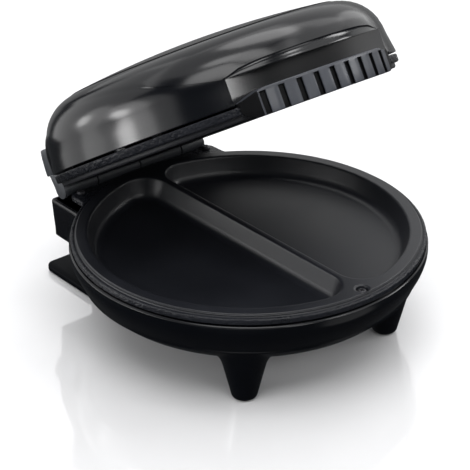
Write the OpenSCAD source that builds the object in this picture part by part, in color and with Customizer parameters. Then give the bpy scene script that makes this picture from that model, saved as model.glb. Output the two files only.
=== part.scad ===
// Electric omelette maker: a round countertop cooker whose hinged lid carries a second plate.
// Millimetres. +Z is up, -Y is the front, where the grip is, and the lid stands part open.

/* [Bowl] */
// Radius of the bowl at its rim
bowl_r = 110; // [105:0.5:118]
// Height of the bowl from its flat underside to its rim
bowl_h = 31.6; // [30:0.2:36]
// Height of the bowl's underside above the floor
bowl_lift = 30; // [24:0.5:36]
// Thickness of the bowl's wall
bowl_wall = 2.4; // [1.8:0.1:3]
// How far the edge of the flat underside lies inside the rim
bottom_in = 20; // [17:0.5:24]
// How far the crease round the bowl's side lies inside the rim
crease_in = 7.5; // [5:0.5:10]
// Height of that crease above the underside
crease_h = 10; // [8:0.5:12]

/* [Hinge housing] */
// Width of the housing behind the bowl
box_w = 127; // [126:0.5:132]
// How far the housing reaches behind the bowl's rim
box_tail = 11.5; // [11.2:0.1:12]
// Height of the housing
box_h = 25.5; // [24:0.5:27]
// How far the housing's top lies below the bowl's rim
box_drop = 1.6; // [1.2:0.1:3]

/* [Feet and stand] */
// Sideways distance of a front foot from the middle
foot_x = 57; // [48:0.5:62]
// Forward distance of a front foot from the middle
foot_y = 63.8; // [55:0.5:66]
// Radius of a front foot where it meets the bowl
foot_top_r = 14.5; // [11:0.5:16]
// Radius of a front foot at its tip
foot_tip_r = 8; // [7:0.5:10]
// Radius of a rubber pad
pad_r = 6; // [4:0.5:6.5]
// Thickness of a rubber pad
pad_t = 2; // [1.5:0.1:3]
// How far a pad stands out of its foot
pad_proud = 1; // [0.5:0.1:1.2]
// Width of the rear stand
stand_w = 122; // [104:1:126]
// Depth of the rear stand
stand_d = 50; // [44:1:54]
// Thickness of the rear stand's plate
stand_t = 4; // [3:0.5:6]
// How far the rear stand reaches behind the hinge housing
stand_tail = 15.7; // [10:0.1:17]
// Sideways distance of a stand post from the middle
post_x = 36; // [30:0.5:42]
// Width of a stand post
post_w = 16; // [12:0.5:20]
// Depth of a stand post
post_d = 12; // [10:0.5:14]

/* [Plates] */
// How far the plate's edge lies inside the bowl's rim
plate_in = 1.2; // [0.8:0.1:2.5]
// Thickness of the lower plate's flange
flange_t = 3.8; // [3:0.1:5]
// Height of the raised land on the lower plate
land_h = 1.9; // [1.2:0.1:2.5]
// Thickness of the upper plate's flange
upper_flange_t = 4.8; // [3.5:0.1:5.5]
// Height of the raised land on the upper plate
upper_land_h = 2.9; // [2:0.1:3.5]
// Shadow gap between the bowl's rim and the lower plate
flange_gap = 0.8; // [0.5:0.1:1.5]
// How far the land's edge lies inside the plate's edge
land_in = 2.8; // [2:0.1:4]
// Width of the land round the wells
land_w = 8; // [6:0.5:10]
// Depth of a lower well
well_depth = 13; // [10:0.5:14]
// Depth of an upper well
upper_well_depth = 5; // [3:0.5:5]
// How far a well narrows on each side towards its bottom
well_taper = 4; // [2:0.5:6]
// Radius of a well's corners
well_corner_r = 16; // [10:0.5:20]
// Width of the divider between the wells
divider_w = 5; // [4:0.5:8]
// Wall under a well
plate_wall = 3; // [2:0.1:4]
// Gap between the two plates' lands when the lid is shut
shut_gap = 0.5; // [0.3:0.1:1]
// How far the plates' rear ears lie inside the lid's rear part on each side
plate_ear_in = 2.5; // [2.5:0.1:6]
// How far the front plate screw lies inside the land's edge
front_screw_in = 5; // [4.5:0.1:6.5]
// How far a rear plate screw lies inside the ear's side
rear_screw_in = 6.7; // [6.2:0.1:11]

/* [Lid] */
// How far the lid stands open in degrees
lid_open = 31.5; // [0:0.5:95]
// How far the lid's edge lies inside the bowl's rim
lid_in = 0.8; // [0.5:0.1:2]
// How far the lid's side leans in up to the shoulder
lid_draft = 2.2; // [1:0.1:3]
// Height of the lid's side up to the shoulder
side_h = 13.5; // [11:0.5:15]
// Radius of the lid's shoulder in profile
shoulder_r = 27; // [25:0.5:29]
// Height of the lid's crown above its edge
crown_h = 46.2; // [45:0.2:50]
// Thickness of the lid's wall
lid_wall = 2; // [1.6:0.1:2.4]
// Thickness of the top cover
cover_t = 1.6; // [1.2:0.1:2]
// Width of the seam round the top cover
cover_gap = 0.3; // [0.2:0.1:0.8]
// Shadow gap between the upper plate and the lid
lid_gap = 1.2; // [0.8:0.1:2]
// Width of the lid's rear part
lid_box_w = 120.4; // [116:0.2:121]
// How far the lid's rear wall lies behind the hinge axis
lid_tail = 5.1; // [5:0.1:5.4]
// Radius of the lid's rear corner in profile
roll_r = 20; // [14:0.5:24]
// Radius of the roof between that corner and the crown
roof_r = 100; // [80:1:130]

/* [Finger recess and grip] */
// Depth of the finger recess at the middle
recess_d = 20.2; // [15:0.2:21]
// Height of the hood's lower edge above the lid's edge
hood_h = 15.3; // [14:0.1:18]
// How far the grip stands out past the bowl's rim
grip_out = 1.6; // [1.2:0.1:4]
// Height of the grip's top above the lid's edge
grip_top = 4.8; // [3:0.1:6]
// How far the grip hangs below the lid's edge
grip_drop = 10.3; // [8:0.1:10.4]
// Half of the grip's width along the wall
grip_half = 54.3; // [50:0.1:56]
// Half of the width of the grip's ribbed face
ribbed_half = 44; // [40:0.1:46]
// Number of grooves in the ribbed face
groove_count = 9; // [5:1:11]
// Width of a groove
groove_w = 2.4; // [1.6:0.1:3]
// Depth of a groove
groove_d = 1; // [0.6:0.1:1.1]

/* [Hinge] */
// How far the hinge axis lies behind the bowl's rim
hinge_back = 3.6; // [3.2:0.1:4]
// How far the hinge axis lies below the lower plate's land
hinge_below = 0.6; // [0.2:0.1:1]
// Radius of a hinge barrel
barrel_r = 4.8; // [4.2:0.1:4.9]
// Radius of a hinge pin
pin_r = 1.6; // [1.3:0.05:1.8]
// Clearance round a pin in a knuckle
pin_fit = 0.05; // [0.02:0.01:0.1]
// Distance of the split between fixed and moving knuckles from the middle
knuckle_x = 33.9; // [30:0.1:36]
// Side gap between neighbouring knuckles
knuckle_gap = 0.4; // [0.3:0.05:0.6]
// Radius of a lid ear about the hinge axis
ear_r = 5.6; // [5.2:0.1:8]
// Thickness of a lid ear
ear_t = 2.5; // [2:0.1:2.6]
// How far the right moving knuckle ends inside the line of the left ear
right_end_in = 4.5; // [3.5:0.1:6]
// Depth of the hinge cover behind the lid at its foot
hinge_cover_d = 11.6; // [8:0.1:12]
// Height of the hinge cover
hinge_cover_h = 17.5; // [14:0.5:20]

/* [Heating and wiring] */
// How far a heating element's ring lies inside the wells' round side
element_in = 36; // [32:0.5:44]
// Radius of the element's tube
tube_r = 3.2; // [2.8:0.1:3.6]
// Gap between the element's ring ends at the rear, in degrees
element_gap = 40; // [30:1:50]
// How far a heat reflector's edge lies inside the wells' round side
reflector_in = 14; // [14:0.5:20]
// Thickness of a heat reflector
reflector_t = 0.8; // [0.5:0.1:1.2]
// Height of a reflector's turned-up rim
reflector_rim = 3; // [2:0.1:4]
// Radius of the thermostat
thermostat_r = 8; // [6:0.5:10]
// Height of the thermostat
thermostat_h = 5.5; // [4:0.1:6]
// Radius of an insulated lead
lead_r = 1.3; // [1:0.1:1.5]
// Radius of the hole for the supply cord
gland_bore_r = 3.4; // [2.5:0.1:3.6]
// Radius of the cord gland's flange
gland_r = 6; // [5.5:0.1:6]

/* [Lamps] */
// Radius of a lamp lens
lens_r = 3.5; // [2.5:0.1:4.5]
// Sideways distance of a lens from the middle
lens_x = 9; // [7:0.5:14]
// Distance of the lenses behind the lid's middle
lens_y = 50; // [40:1:60]

/* [Screws] */
// Radius of a screw's shank
screw_r = 1.5; // [1.2:0.1:1.8]
// Radius of a screw's head
screw_head_r = 3; // [2.7:0.1:3.1]
// Height of a screw's head
screw_head_h = 1.8; // [1.4:0.1:2]

/* [Hidden] */
$fn = 96;

// Clearance under a piece that rests on its seat
seat = 0.2;
// Clearance round a screw or a bush in its hole
slip = 0.2;
// Overlap that keeps a cut clean
eps = 0.5;

rim_z = bowl_lift + bowl_h;
flange_z = rim_z + flange_gap;
land_z = flange_z + flange_t + land_h;
upper_z = land_z + shut_gap;
lid_z = upper_z + upper_land_h + upper_flange_t + lid_gap;
plate_r = bowl_r - plate_in;
land_r = plate_r - land_in;
well_r = land_r - land_w;
plate_ear_half = lid_box_w / 2 - plate_ear_in;
front_screw_y = land_r - front_screw_in;
rear_screw_x = plate_ear_half - rear_screw_in;
element_r = well_r - element_in;
reflector_r = well_r - reflector_in;
reflector_post_r = reflector_r - 14;
hinge_y = bowl_r + hinge_back;
hinge_z = land_z - hinge_below;
plate_tail_y = hinge_y - barrel_r - 0.5;
rear_screw_y = plate_tail_y - 3.6;
box_y = bowl_r + box_tail;
box_top = rim_z - box_drop;
box_bottom = box_top - box_h;
box_floor = box_bottom + bowl_wall;
ledge_r = bowl_r - bowl_wall - 4;
stand_y = box_y + stand_tail;
stand_top = pad_proud + stand_t;
post_y = box_y - post_d / 2 - 11.5;
post_seat_z = box_bottom - 8;
lid_r = bowl_r - lid_in;
shoulder_x = lid_r - lid_draft - shoulder_r;
cover_r = shoulder_x + 4;
cover_edge_h = side_h + sqrt(pow(shoulder_r, 2) - pow(cover_r - shoulder_x, 2));
crown_drop = crown_h - cover_edge_h;
lid_rear_y = hinge_y + lid_tail;
lid_skin = cover_t + seat + lid_wall;
recess_y = lid_r - recess_d;
recess_half = grip_half + 2.9;
grip_r = bowl_r + grip_out;
ribbed_angle = asin(ribbed_half / grip_r);
grip_bottom_z = lid_z - grip_drop;
pan_depth = well_depth + plate_wall;
upper_pan_depth = upper_flange_t + upper_land_h;
element_down = seat + tube_r;
reflector_down = element_down + tube_r + 3.4;
reflector_z = land_z - pan_depth - reflector_down;
ear_in_x = plate_ear_half + knuckle_gap;
right_end_x = ear_in_x - right_end_in;
ear_tab_x = knuckle_x + 2;
ear_tab_w = lid_box_w / 2 - lid_wall - 0.4 - ear_tab_x;
ear_screws_at = [for (share = [0.28, 0.735]) ear_tab_x + ear_tab_w * share];
hinge_foot_z = box_floor + 13;
cold_end_y = element_r + 18;
cold_end_x = element_r * sin(element_gap / 2);
block_y = bowl_r - 14;
gland_z = box_floor + gland_r - 1.3;
plate_screws_at = [[0, -front_screw_y], [rear_screw_x, rear_screw_y], [-rear_screw_x, rear_screw_y]];
reflector_posts_at = [for (a = [30, 150, 270]) [reflector_post_r * cos(a), reflector_post_r * sin(a)]];
clamp_angles = [20, 160, 200, 340];
board_h = cover_edge_h - 15;
lid_post_h = upper_pan_depth + reflector_down - (lid_z - upper_z) + reflector_t + seat;

// Where the open lid's highest rear corner lies, which sets the middle of the whole object
function open_y(y, z) = hinge_y + (y - hinge_y) * cos(lid_open) + (z - hinge_z) * sin(lid_open);
hinge_cover_top_y = lid_rear_y + hinge_cover_d - 3.2;
rear_reach = max(stand_y, open_y(hinge_cover_top_y, lid_z + 1.3 + hinge_cover_h));
middle_y = (rear_reach - bowl_r) / 2;

// Points of an arc about a centre, from one angle to another
function arc(x, y, r, from, to, n) =
    [for (i = [0 : n]) let (a = from + (to - from) * i / n) [x + r * cos(a), y + r * sin(a)]];

// D-shaped outline with its straight side at x0 and its two corners rounded
function d_outline(r, x0, corner) =
    let (cx = x0 + corner, cy = sqrt(pow(r - corner, 2) - cx * cx), a = atan2(cy, cx))
    concat(arc(cx, cy, corner, 180, a, 8), arc(0, 0, r, a, -a, 30), arc(cx, -cy, corner, -a, -180, 8));

// Height of the lid's crown at a distance from its middle
function crown(r) = crown_h - crown_drop * pow(r / cover_r, 2);

// Profile of the lid from its edge over the shoulder to the crown, thinned by a wall
function lid_profile(wall, top) = concat(
    [[0, -eps * sign(wall)], [lid_r - wall, -eps * sign(wall)]],
    arc(shoulder_x, side_h - top + wall, shoulder_r - wall, 0, asin((cover_edge_h - side_h) / shoulder_r), 14),
    [for (i = [9 : -1 : 0]) let (r = cover_r * i / 10) [r, crown(r) - top]]
);

// The whole object is placed over the middle of its floor area
module place() {
    translate([0, -middle_y, 0]) children();
}

// The lid and all that rides on it turn about the hinge axis
module lid_pose() {
    place()
        translate([0, hinge_y, hinge_z])
            rotate([-lid_open, 0, 0])
                translate([0, -hinge_y, -hinge_z])
                    children();
}

// Heights in the lid are measured from its edge
module from_lid_edge() {
    translate([0, 0, lid_z]) children();
}

// Left and right copies
module both_sides() {
    children();
    mirror([1, 0, 0]) children();
}

// Straight round rod from one point to another
module rod(p, q, r) {
    d = q - p;
    translate(p)
        rotate([0, acos(d[2] / norm(d)), atan2(d[1], d[0])])
            cylinder(h = norm(d), r = r);
}

// Screw whose head's underside lies at the origin, with its shank running down
module screw(length) {
    translate([0, 0, -length]) cylinder(h = length + 0.1, r = screw_r);
    difference() {
        cylinder(h = screw_head_h, r1 = screw_head_r, r2 = screw_head_r - 0.6);
        translate([-screw_head_r, -0.4, screw_head_h - 0.7]) cube([2 * screw_head_r, 0.8, 1]);
    }
}

// Outer form of the bowl, grown or thinned by a wall
module bowl_form(wall) {
    bottom = bowl_lift + wall;
    rotate_extrude()
        polygon([
            [0, bottom],
            [bowl_r - bottom_in - wall * 0.6, bottom],
            [bowl_r - (bottom_in + crease_in) / 2 - wall * 0.8, bowl_lift + crease_h * 0.28 + wall * 0.6],
            [bowl_r - crease_in - wall, bowl_lift + crease_h],
            [bowl_r - crease_in * 0.4 - wall, bowl_lift + crease_h + 7],
            [bowl_r - crease_in * 0.12 - wall, bowl_lift + crease_h + 13],
            [bowl_r - wall, bowl_lift + crease_h + 17],
            [bowl_r - wall, rim_z + (wall > 0 ? eps : 0)],
            [0, rim_z + (wall > 0 ? eps : 0)]
        ]);
}

module hinge_box_form() {
    translate([-box_w / 2, bowl_r * 0.5, box_bottom]) cube([box_w, box_y - bowl_r * 0.5, box_h]);
}

module foot_form() {
    rotate_extrude()
        polygon([
            [0, pad_proud],
            [foot_tip_r - 1.5, pad_proud],
            [foot_tip_r - 0.4, pad_proud + 0.6],
            [foot_tip_r, pad_proud + 2],
            [foot_top_r, bowl_lift],
            [foot_top_r + 0.8, bowl_lift + crease_h * 0.8],
            [0, bowl_lift + crease_h * 0.8]
        ]);
}

// Posts and ledges inside the bowl that carry the plate, the reflector and the hinge
module base_supports() {
    translate([0, 0, rim_z - 5])
        difference() {
            cylinder(h = 4, r = bowl_r - bowl_wall / 2);
            translate([0, 0, -eps]) cylinder(h = 4 + 2 * eps, r = ledge_r);
        }
    translate([0, 0, rim_z - 2])
        difference() {
            cylinder(h = 2 + flange_gap - seat, r = ledge_r + 3);
            translate([0, 0, -eps]) cylinder(h = 4 + flange_gap, r = ledge_r);
        }
    for (p = plate_screws_at)
        translate([p[0], p[1], bowl_lift + 1]) cylinder(h = flange_z - seat - bowl_lift - 1, r = 3.6);
    for (p = reflector_posts_at)
        translate([p[0], p[1], bowl_lift + 1])
            cylinder(h = reflector_z - reflector_t - seat - bowl_lift - 1, r = 4);
    both_sides()
        translate([14, hinge_y - 4.1, box_bottom + 1]) cube([18, 8.4, hinge_foot_z - seat - box_bottom - 1]);
}

module base_housing() {
    color([0.07, 0.07, 0.08])
        place()
            difference() {
                union() {
                    difference() {
                        union() {
                            bowl_form(0);
                            hinge_box_form();
                            both_sides() translate([foot_x, -foot_y, 0]) foot_form();
                        }
                        bowl_form(bowl_wall);
                        translate([-box_w / 2 + bowl_wall, bowl_r * 0.55, box_floor])
                            cube([box_w - 2 * bowl_wall, box_y - bowl_wall - bowl_r * 0.55, box_h + 10]);
                    }
                    intersection() {
                        union() {
                            bowl_form(0);
                            translate([-box_w / 2, bowl_r * 0.5, box_bottom])
                                cube([box_w, box_y - bowl_r * 0.5, flange_z]);
                            translate([0, 0, rim_z - 1]) cylinder(h = 3, r = ledge_r + 3);
                        }
                        base_supports();
                    }
                }
                base_housing_cuts();
            }
}

// Slot for the lid's round ear, seats for the pads, screw holes and the cord's way out
module base_housing_cuts() {
    mirror([1, 0, 0])
        translate([ear_in_x - 0.5, hinge_y - 1, hinge_z - ear_r - 0.5])
            cube([ear_t + 0.9, box_tail, ear_r + 4]);
    both_sides() {
        translate([foot_x, -foot_y, -eps]) cylinder(h = pad_t + seat + eps, r = pad_r + slip);
        translate([post_x, post_y, box_bottom - eps]) cylinder(h = bowl_wall + 2 * eps, r = screw_r + slip);
        translate([23, hinge_y, box_bottom - eps]) {
            cylinder(h = hinge_foot_z - box_bottom + 1, r = screw_r + slip);
            cylinder(h = screw_head_h + 0.5 + eps, r = screw_head_r + slip);
        }
    }
    for (p = plate_screws_at)
        translate([p[0], p[1], flange_z - 12]) cylinder(h = 14, r = screw_r + slip);
    for (p = reflector_posts_at)
        translate([p[0], p[1], reflector_z - 7]) cylinder(h = 8, r = screw_r + slip);
    translate([0, box_y - bowl_wall - eps, gland_z])
        rotate([-90, 0, 0]) cylinder(h = bowl_wall + 2 * eps, r = gland_bore_r + 1.2 + slip);
}

// Plate on the floor behind the bowl, with two posts that carry the housing
module rear_stand() {
    corner = 6;
    color([0.08, 0.08, 0.09])
        place()
            difference() {
                union() {
                    translate([0, 0, pad_proud])
                        linear_extrude(stand_t)
                            union() {
                                translate([-stand_w / 2, stand_y - stand_d])
                                    square([stand_w, stand_d - corner]);
                                translate([-stand_w / 2 + corner, stand_y - stand_d])
                                    square([stand_w - 2 * corner, stand_d]);
                                for (s = [-1, 1])
                                    translate([s * (stand_w / 2 - corner), stand_y - corner]) circle(corner);
                            }
                    both_sides()
                        translate([post_x - post_w / 2, post_y - post_d / 2, pad_proud])
                            cube([post_w, post_d, box_bottom - seat - pad_proud]);
                }
                both_sides() {
                    translate([post_x, post_y, -eps]) {
                        cylinder(h = box_bottom + 2 * eps, r = screw_r + slip);
                        cylinder(h = post_seat_z + eps, r = screw_head_r + slip);
                    }
                    translate([stand_w / 2 - 11, stand_y - 11, -eps])
                        cylinder(h = pad_t + seat + eps, r = pad_r + slip);
                }
            }
}

module foot_pads() {
    color([0.04, 0.04, 0.04])
        place()
            both_sides() {
                translate([foot_x, -foot_y, 0]) cylinder(h = pad_t, r = pad_r);
                translate([stand_w / 2 - 11, stand_y - 11, 0]) cylinder(h = pad_t, r = pad_r);
            }
}

// Body of a tapered well between two levels, on one side of the divider
module well_form(top, bottom, grow) {
    hull() {
        translate([0, 0, top - 0.01])
            linear_extrude(0.01) polygon(d_outline(well_r + grow, divider_w / 2 - grow, well_corner_r + grow));
        translate([0, 0, bottom])
            linear_extrude(0.01)
                polygon(d_outline(well_r - well_taper + grow, divider_w / 2 + well_taper - grow,
                                  well_corner_r - well_taper + grow));
    }
}

// Cooking plate with its land's face at zero and its two wells below it
module cooking_plate(flange, land, depth, pan) {
    difference() {
        union() {
            translate([0, 0, -land - flange]) {
                cylinder(h = flange, r = plate_r, $fn = 180);
                translate([-plate_ear_half, plate_r / 2, 0])
                    cube([2 * plate_ear_half, plate_tail_y - plate_r / 2, flange]);
            }
            translate([0, 0, -land - 1]) cylinder(h = land + 1, r = land_r, $fn = 180);
            both_sides() well_form(-land - 1, -pan, plate_wall);
        }
        both_sides() well_form(eps, -depth, 0);
        for (p = plate_screws_at)
            translate([p[0], p[1], -land - flange - eps]) cylinder(h = flange + land + 2 * eps, r = screw_r + slip);
        translate([0, -front_screw_y, -land - 1]) cylinder(h = land + 1 + eps, r = screw_head_r + 0.6);
    }
}

module lower_plate() {
    color([0.13, 0.13, 0.15])
        place() translate([0, 0, land_z]) cooking_plate(flange_t, land_h, well_depth, pan_depth);
}

// Bent tube on the back of a plate, with its two straight ends at the rear
module element() {
    half = element_gap / 2;
    end_y = element_r * cos(half);
    translate([0, 0, -element_down]) {
        rotate([0, 0, 90 + half])
            rotate_extrude(angle = 360 - element_gap) translate([element_r, 0]) circle(tube_r, $fn = 48);
        both_sides() {
            translate([cold_end_x, end_y, 0]) sphere(tube_r + 0.15, $fn = 48);
            rod([cold_end_x, end_y, 0], [cold_end_x, cold_end_y, 0], tube_r - 0.2);
            rod([cold_end_x, cold_end_y - 1, 0], [cold_end_x, cold_end_y + 5, 0], tube_r / 2);
        }
    }
}

// Saddles that hold the tube against the plate
module element_clamps() {
    for (a = clamp_angles)
        rotate([0, 0, a])
            translate([element_r, 0, -element_down - tube_r - 1.2])
                difference() {
                    translate([-9, -4, 0]) cube([18, 8, 2 * tube_r + 1.2]);
                    translate([0, 5, tube_r + 1.2]) rotate([90, 0, 0]) cylinder(h = 10, r = tube_r + slip);
                    translate([-tube_r - slip, -5, tube_r + 1.2]) cube([2 * (tube_r + slip), 10, 2 * tube_r]);
                }
}

// Shallow sheet dish behind the element
module reflector() {
    translate([0, 0, -reflector_down - reflector_t])
        difference() {
            cylinder(h = reflector_t + reflector_rim, r = reflector_r);
            translate([0, 0, reflector_t]) cylinder(h = reflector_rim + eps, r = reflector_r - reflector_t);
            for (p = reflector_posts_at)
                translate([p[0], p[1], -eps]) cylinder(h = reflector_t + 2 * eps, r = screw_r + slip);
        }
}

// Screws that hold a reflector to its posts
module reflector_fixings() {
    for (p = reflector_posts_at)
        translate([p[0], p[1], -reflector_down + 0.1]) screw(6);
}

// Heights below the lower plate are measured from the underside of its wells
module under_plate() {
    place() translate([0, 0, land_z - pan_depth]) children();
}

// What the base has below its plate, the lid has turned over above its own
module in_lid() {
    lid_pose() translate([0, 0, upper_z]) mirror([0, 0, 1]) children();
}

module over_plate() {
    in_lid() translate([0, 0, -upper_pan_depth]) children();
}

module lower_element() {
    color([0.45, 0.42, 0.4]) under_plate() element();
}

module lower_element_clamps() {
    color([0.7, 0.7, 0.72]) under_plate() element_clamps();
}

module lower_reflector() {
    color([0.78, 0.78, 0.8]) under_plate() reflector();
}

module reflector_screws() {
    color([0.6, 0.6, 0.62]) under_plate() reflector_fixings();
}

// Snap-action disc that sits against the underside of the left well
module thermostat() {
    color([0.75, 0.72, 0.65])
        place()
            translate([-element_r * 0.6, 0, land_z - pan_depth - seat - thermostat_h]) {
                cylinder(h = thermostat_h, r = thermostat_r);
                both_sides() translate([thermostat_r - 1, -2, 1.5]) cube([6, 4, 0.8]);
            }
}

// One-shot fuse in its sleeve against the underside of the right well
module thermal_fuse() {
    fuse_z = land_z - pan_depth - seat - 2.5;
    color([0.8, 0.8, 0.82])
        place()
            union() {
                rod([element_r * 0.6, -8, fuse_z], [element_r * 0.6, 8, fuse_z], 2.5);
                rod([element_r * 0.6, -13, fuse_z], [element_r * 0.6, 13, fuse_z], 0.5);
            }
}

module terminal_block() {
    color([0.9, 0.88, 0.82])
        place()
            difference() {
                translate([-17, block_y, box_floor + seat]) cube([34, 12, 12]);
                for (x = [-11, 0, 11])
                    translate([x, block_y - eps, box_floor + seat + 6])
                        rotate([-90, 0, 0]) cylinder(h = 13, r = lead_r + slip);
            }
}

// Insulated lead through a row of points, with a sleeve over the element's pin at the first
module lead(points) {
    start = points[0];
    difference() {
        rod([start[0], start[1] - 6, start[2]], start, tube_r / 2 + 1);
        rod([start[0], start[1] - 7, start[2]], [start[0], start[1] - 1.3, start[2]], tube_r / 2 + slip);
    }
    for (i = [0 : len(points) - 2]) {
        rod(points[i], points[i + 1], lead_r);
        translate(points[i]) sphere(i == 0 ? tube_r / 2 - 0.4 : lead_r + 0.15, $fn = 32);
    }
}

// Leads between the terminal block and the element's two ends
module base_leads() {
    terminal_z = box_floor + seat + 6;
    color([0.85, 0.82, 0.78])
        place()
            both_sides()
                lead([
                    [cold_end_x, cold_end_y + 6.5, land_z - pan_depth - element_down],
                    [11, block_y - 2.2, terminal_z],
                    [11, block_y + 3, terminal_z]
                ]);
}

// Ring in the rear wall that the supply cord would pass through
module cord_gland() {
    color([0.05, 0.05, 0.05])
        place()
            translate([0, box_y, gland_z])
                rotate([-90, 0, 0])
                    difference() {
                        union() {
                            translate([0, 0, seat / 2]) cylinder(h = 1.3, r = gland_r);
                            translate([0, 0, -bowl_wall - 1.5]) cylinder(h = bowl_wall + 2, r = gland_bore_r + 1.2);
                        }
                        translate([0, 0, -bowl_wall - 4]) cylinder(h = bowl_wall + 8, r = gland_bore_r);
                    }
}

// Fixed middle knuckles on a web that stands in the housing
module base_hinge() {
    color([0.16, 0.16, 0.17])
        place()
            both_sides()
                difference() {
                    union() {
                        rod([knuckle_gap / 2, hinge_y, hinge_z], [knuckle_x, hinge_y, hinge_z], barrel_r);
                        translate([knuckle_gap / 2, hinge_y - 2.6, hinge_foot_z])
                            cube([knuckle_x - knuckle_gap / 2 - 1, 5.2, hinge_z - hinge_foot_z]);
                        translate([12, hinge_y - 4, hinge_foot_z]) cube([20, 8, 2.5]);
                    }
                    rod([1.5, hinge_y, hinge_z], [knuckle_x + 1, hinge_y, hinge_z], pin_r + pin_fit);
                    translate([23, hinge_y, hinge_foot_z - eps]) cylinder(h = 8, r = screw_r + slip);
                }
}

module hinge_pins() {
    color([0.75, 0.75, 0.77])
        place() {
            mirror([1, 0, 0]) rod([2, hinge_y, hinge_z], [ear_in_x - 0.6, hinge_y, hinge_z], pin_r);
            rod([2, hinge_y, hinge_z], [right_end_x - 1.2, hinge_y, hinge_z], pin_r);
        }
}

module lower_plate_screws() {
    color([0.5, 0.5, 0.52])
        place()
            for (p = plate_screws_at)
                translate([p[0], p[1], land_z - land_h - (p[0] == 0 ? 1 : 0) + 0.1]) screw(10);
}

// The heads sit deep in the stand's posts
module stand_screws() {
    color([0.5, 0.5, 0.52])
        place()
            both_sides()
                translate([post_x, post_y, post_seat_z - 0.1]) mirror([0, 0, 1]) screw(8 + bowl_wall + 3);
}

module hinge_screws() {
    color([0.5, 0.5, 0.52])
        place()
            both_sides()
                translate([23, hinge_y, box_bottom + screw_head_h + 0.4])
                    mirror([0, 0, 1]) screw(hinge_foot_z - box_bottom + 3);
}

// Form of the lid: a low round dome whose rear runs out into a box over the hinge
module lid_form(wall, top) {
    rear = lid_rear_y - top;
    corner = roll_r - top;
    roof = roof_r - top;
    roof_y = cover_r * 0.69;
    roof_h = crown(cover_r) + 0.2 - roof_r;
    tilt = asin((lid_rear_y - roll_r - roof_y) / (roof_r - roll_r));
    corner_h = roof_h + (roof_r - roll_r) * cos(tilt);
    rotate_extrude($fn = 180) polygon(lid_profile(wall, top));
    translate([-lid_box_w / 2 + wall, 0, 0])
        rotate([90, 0, 90])
            linear_extrude(lid_box_w - 2 * wall)
                polygon(concat(
                    [[0, -eps * sign(wall)], [rear, -eps * sign(wall)]],
                    arc(rear - corner, corner_h, corner, 0, 90 - tilt, 10),
                    arc(roof_y, roof_h, roof, 91 - tilt, 90, 8),
                    [[0, roof_h + roof]]
                ));
}

// Plan of the top cover: a disc that runs out to the rear over the hinge
module cover_plan(grow) {
    half = lid_box_w / 2 - 2 + grow;
    union() {
        circle(cover_r + grow, $fn = 180);
        translate([-half, 0]) square([2 * half, lid_rear_y + 5]);
    }
}

// Solid above the cover's underside, which is the shell's skin moved in
module cover_zone(depth) {
    difference() {
        lid_form(0, 0);
        translate([0, -depth, -depth]) lid_form(0, 0);
    }
}

// Space of the finger recess in front of a wall
module front_block(half, y, top) {
    translate([-half, -200, -5]) cube([2 * half, 200 - y, top + 5]);
}

// Ring inside the lid's edge that the plate is drawn up against
module lid_ledge() {
    difference() {
        union() {
            translate([0, 0, 2]) cylinder(h = 3, r = lid_r);
            translate([0, 0, seat - lid_gap]) cylinder(h = 5, r = ledge_r + 2);
        }
        translate([0, 0, -lid_gap - eps]) cylinder(h = 10, r = ledge_r - 1);
        front_block(lid_r, recess_y - 1, 20);
    }
}

// Posts inside the lid for the plate, the reflector and the lamps
module lid_supports() {
    for (p = [plate_screws_at[1], plate_screws_at[2]])
        translate([p[0], p[1], seat - lid_gap]) cylinder(h = crown_h, r = 3.6);
    for (p = reflector_posts_at)
        translate([p[0], p[1], lid_post_h]) cylinder(h = crown_h, r = 4);
    both_sides()
        translate([lens_x + 7.6, lens_y, board_h + 1.8]) cylinder(h = crown_h, r = 2.5);
    lid_ledge();
}

module lid_shell() {
    color([0.08, 0.08, 0.09])
        lid_pose()
            from_lid_edge()
                difference() {
                    union() {
                        difference() {
                            lid_form(0, 0);
                            difference() {
                                lid_form(lid_wall, lid_skin);
                                front_block(recess_half + lid_wall, recess_y - lid_wall, hood_h + lid_wall);
                            }
                            front_block(recess_half, recess_y, hood_h);
                            intersection() {
                                cover_zone(cover_t + seat);
                                linear_extrude(200, center = true) cover_plan(cover_gap);
                            }
                        }
                        intersection() {
                            lid_supports();
                            union() {
                                lid_form(lid_wall / 2, lid_skin - lid_wall / 2);
                                translate([0, 0, -lid_gap]) linear_extrude(lid_gap + 1) lid_plan();
                            }
                        }
                    }
                    lid_shell_cuts();
                }
}

// Floor area of the lid's inside
module lid_plan() {
    union() {
        circle(ledge_r + 2, $fn = 180);
        translate([-lid_box_w / 2 + 2, 0]) square([lid_box_w - 4, lid_rear_y - lid_skin]);
    }
}

// Holes for the lenses and the screws
module lid_shell_cuts() {
    both_sides() {
        translate([lens_x, lens_y, board_h]) cylinder(h = 40, r = lens_r + slip);
        translate([rear_screw_x, rear_screw_y, -lid_gap]) cylinder(h = 12, r = screw_r + slip);
        for (x = ear_screws_at)
            translate([x, lid_rear_y - lid_skin - eps, 4.5])
                rotate([-90, 0, 0]) cylinder(h = lid_skin + 2, r = screw_r + slip);
        translate([30, -recess_y - 1, 2])
            rotate([-90, 0, 0]) cylinder(h = lid_wall + 2, r = screw_r + slip);
    }
    for (p = reflector_posts_at)
        translate([p[0], p[1], lid_post_h - eps]) cylinder(h = 8, r = screw_r + slip);
}

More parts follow.
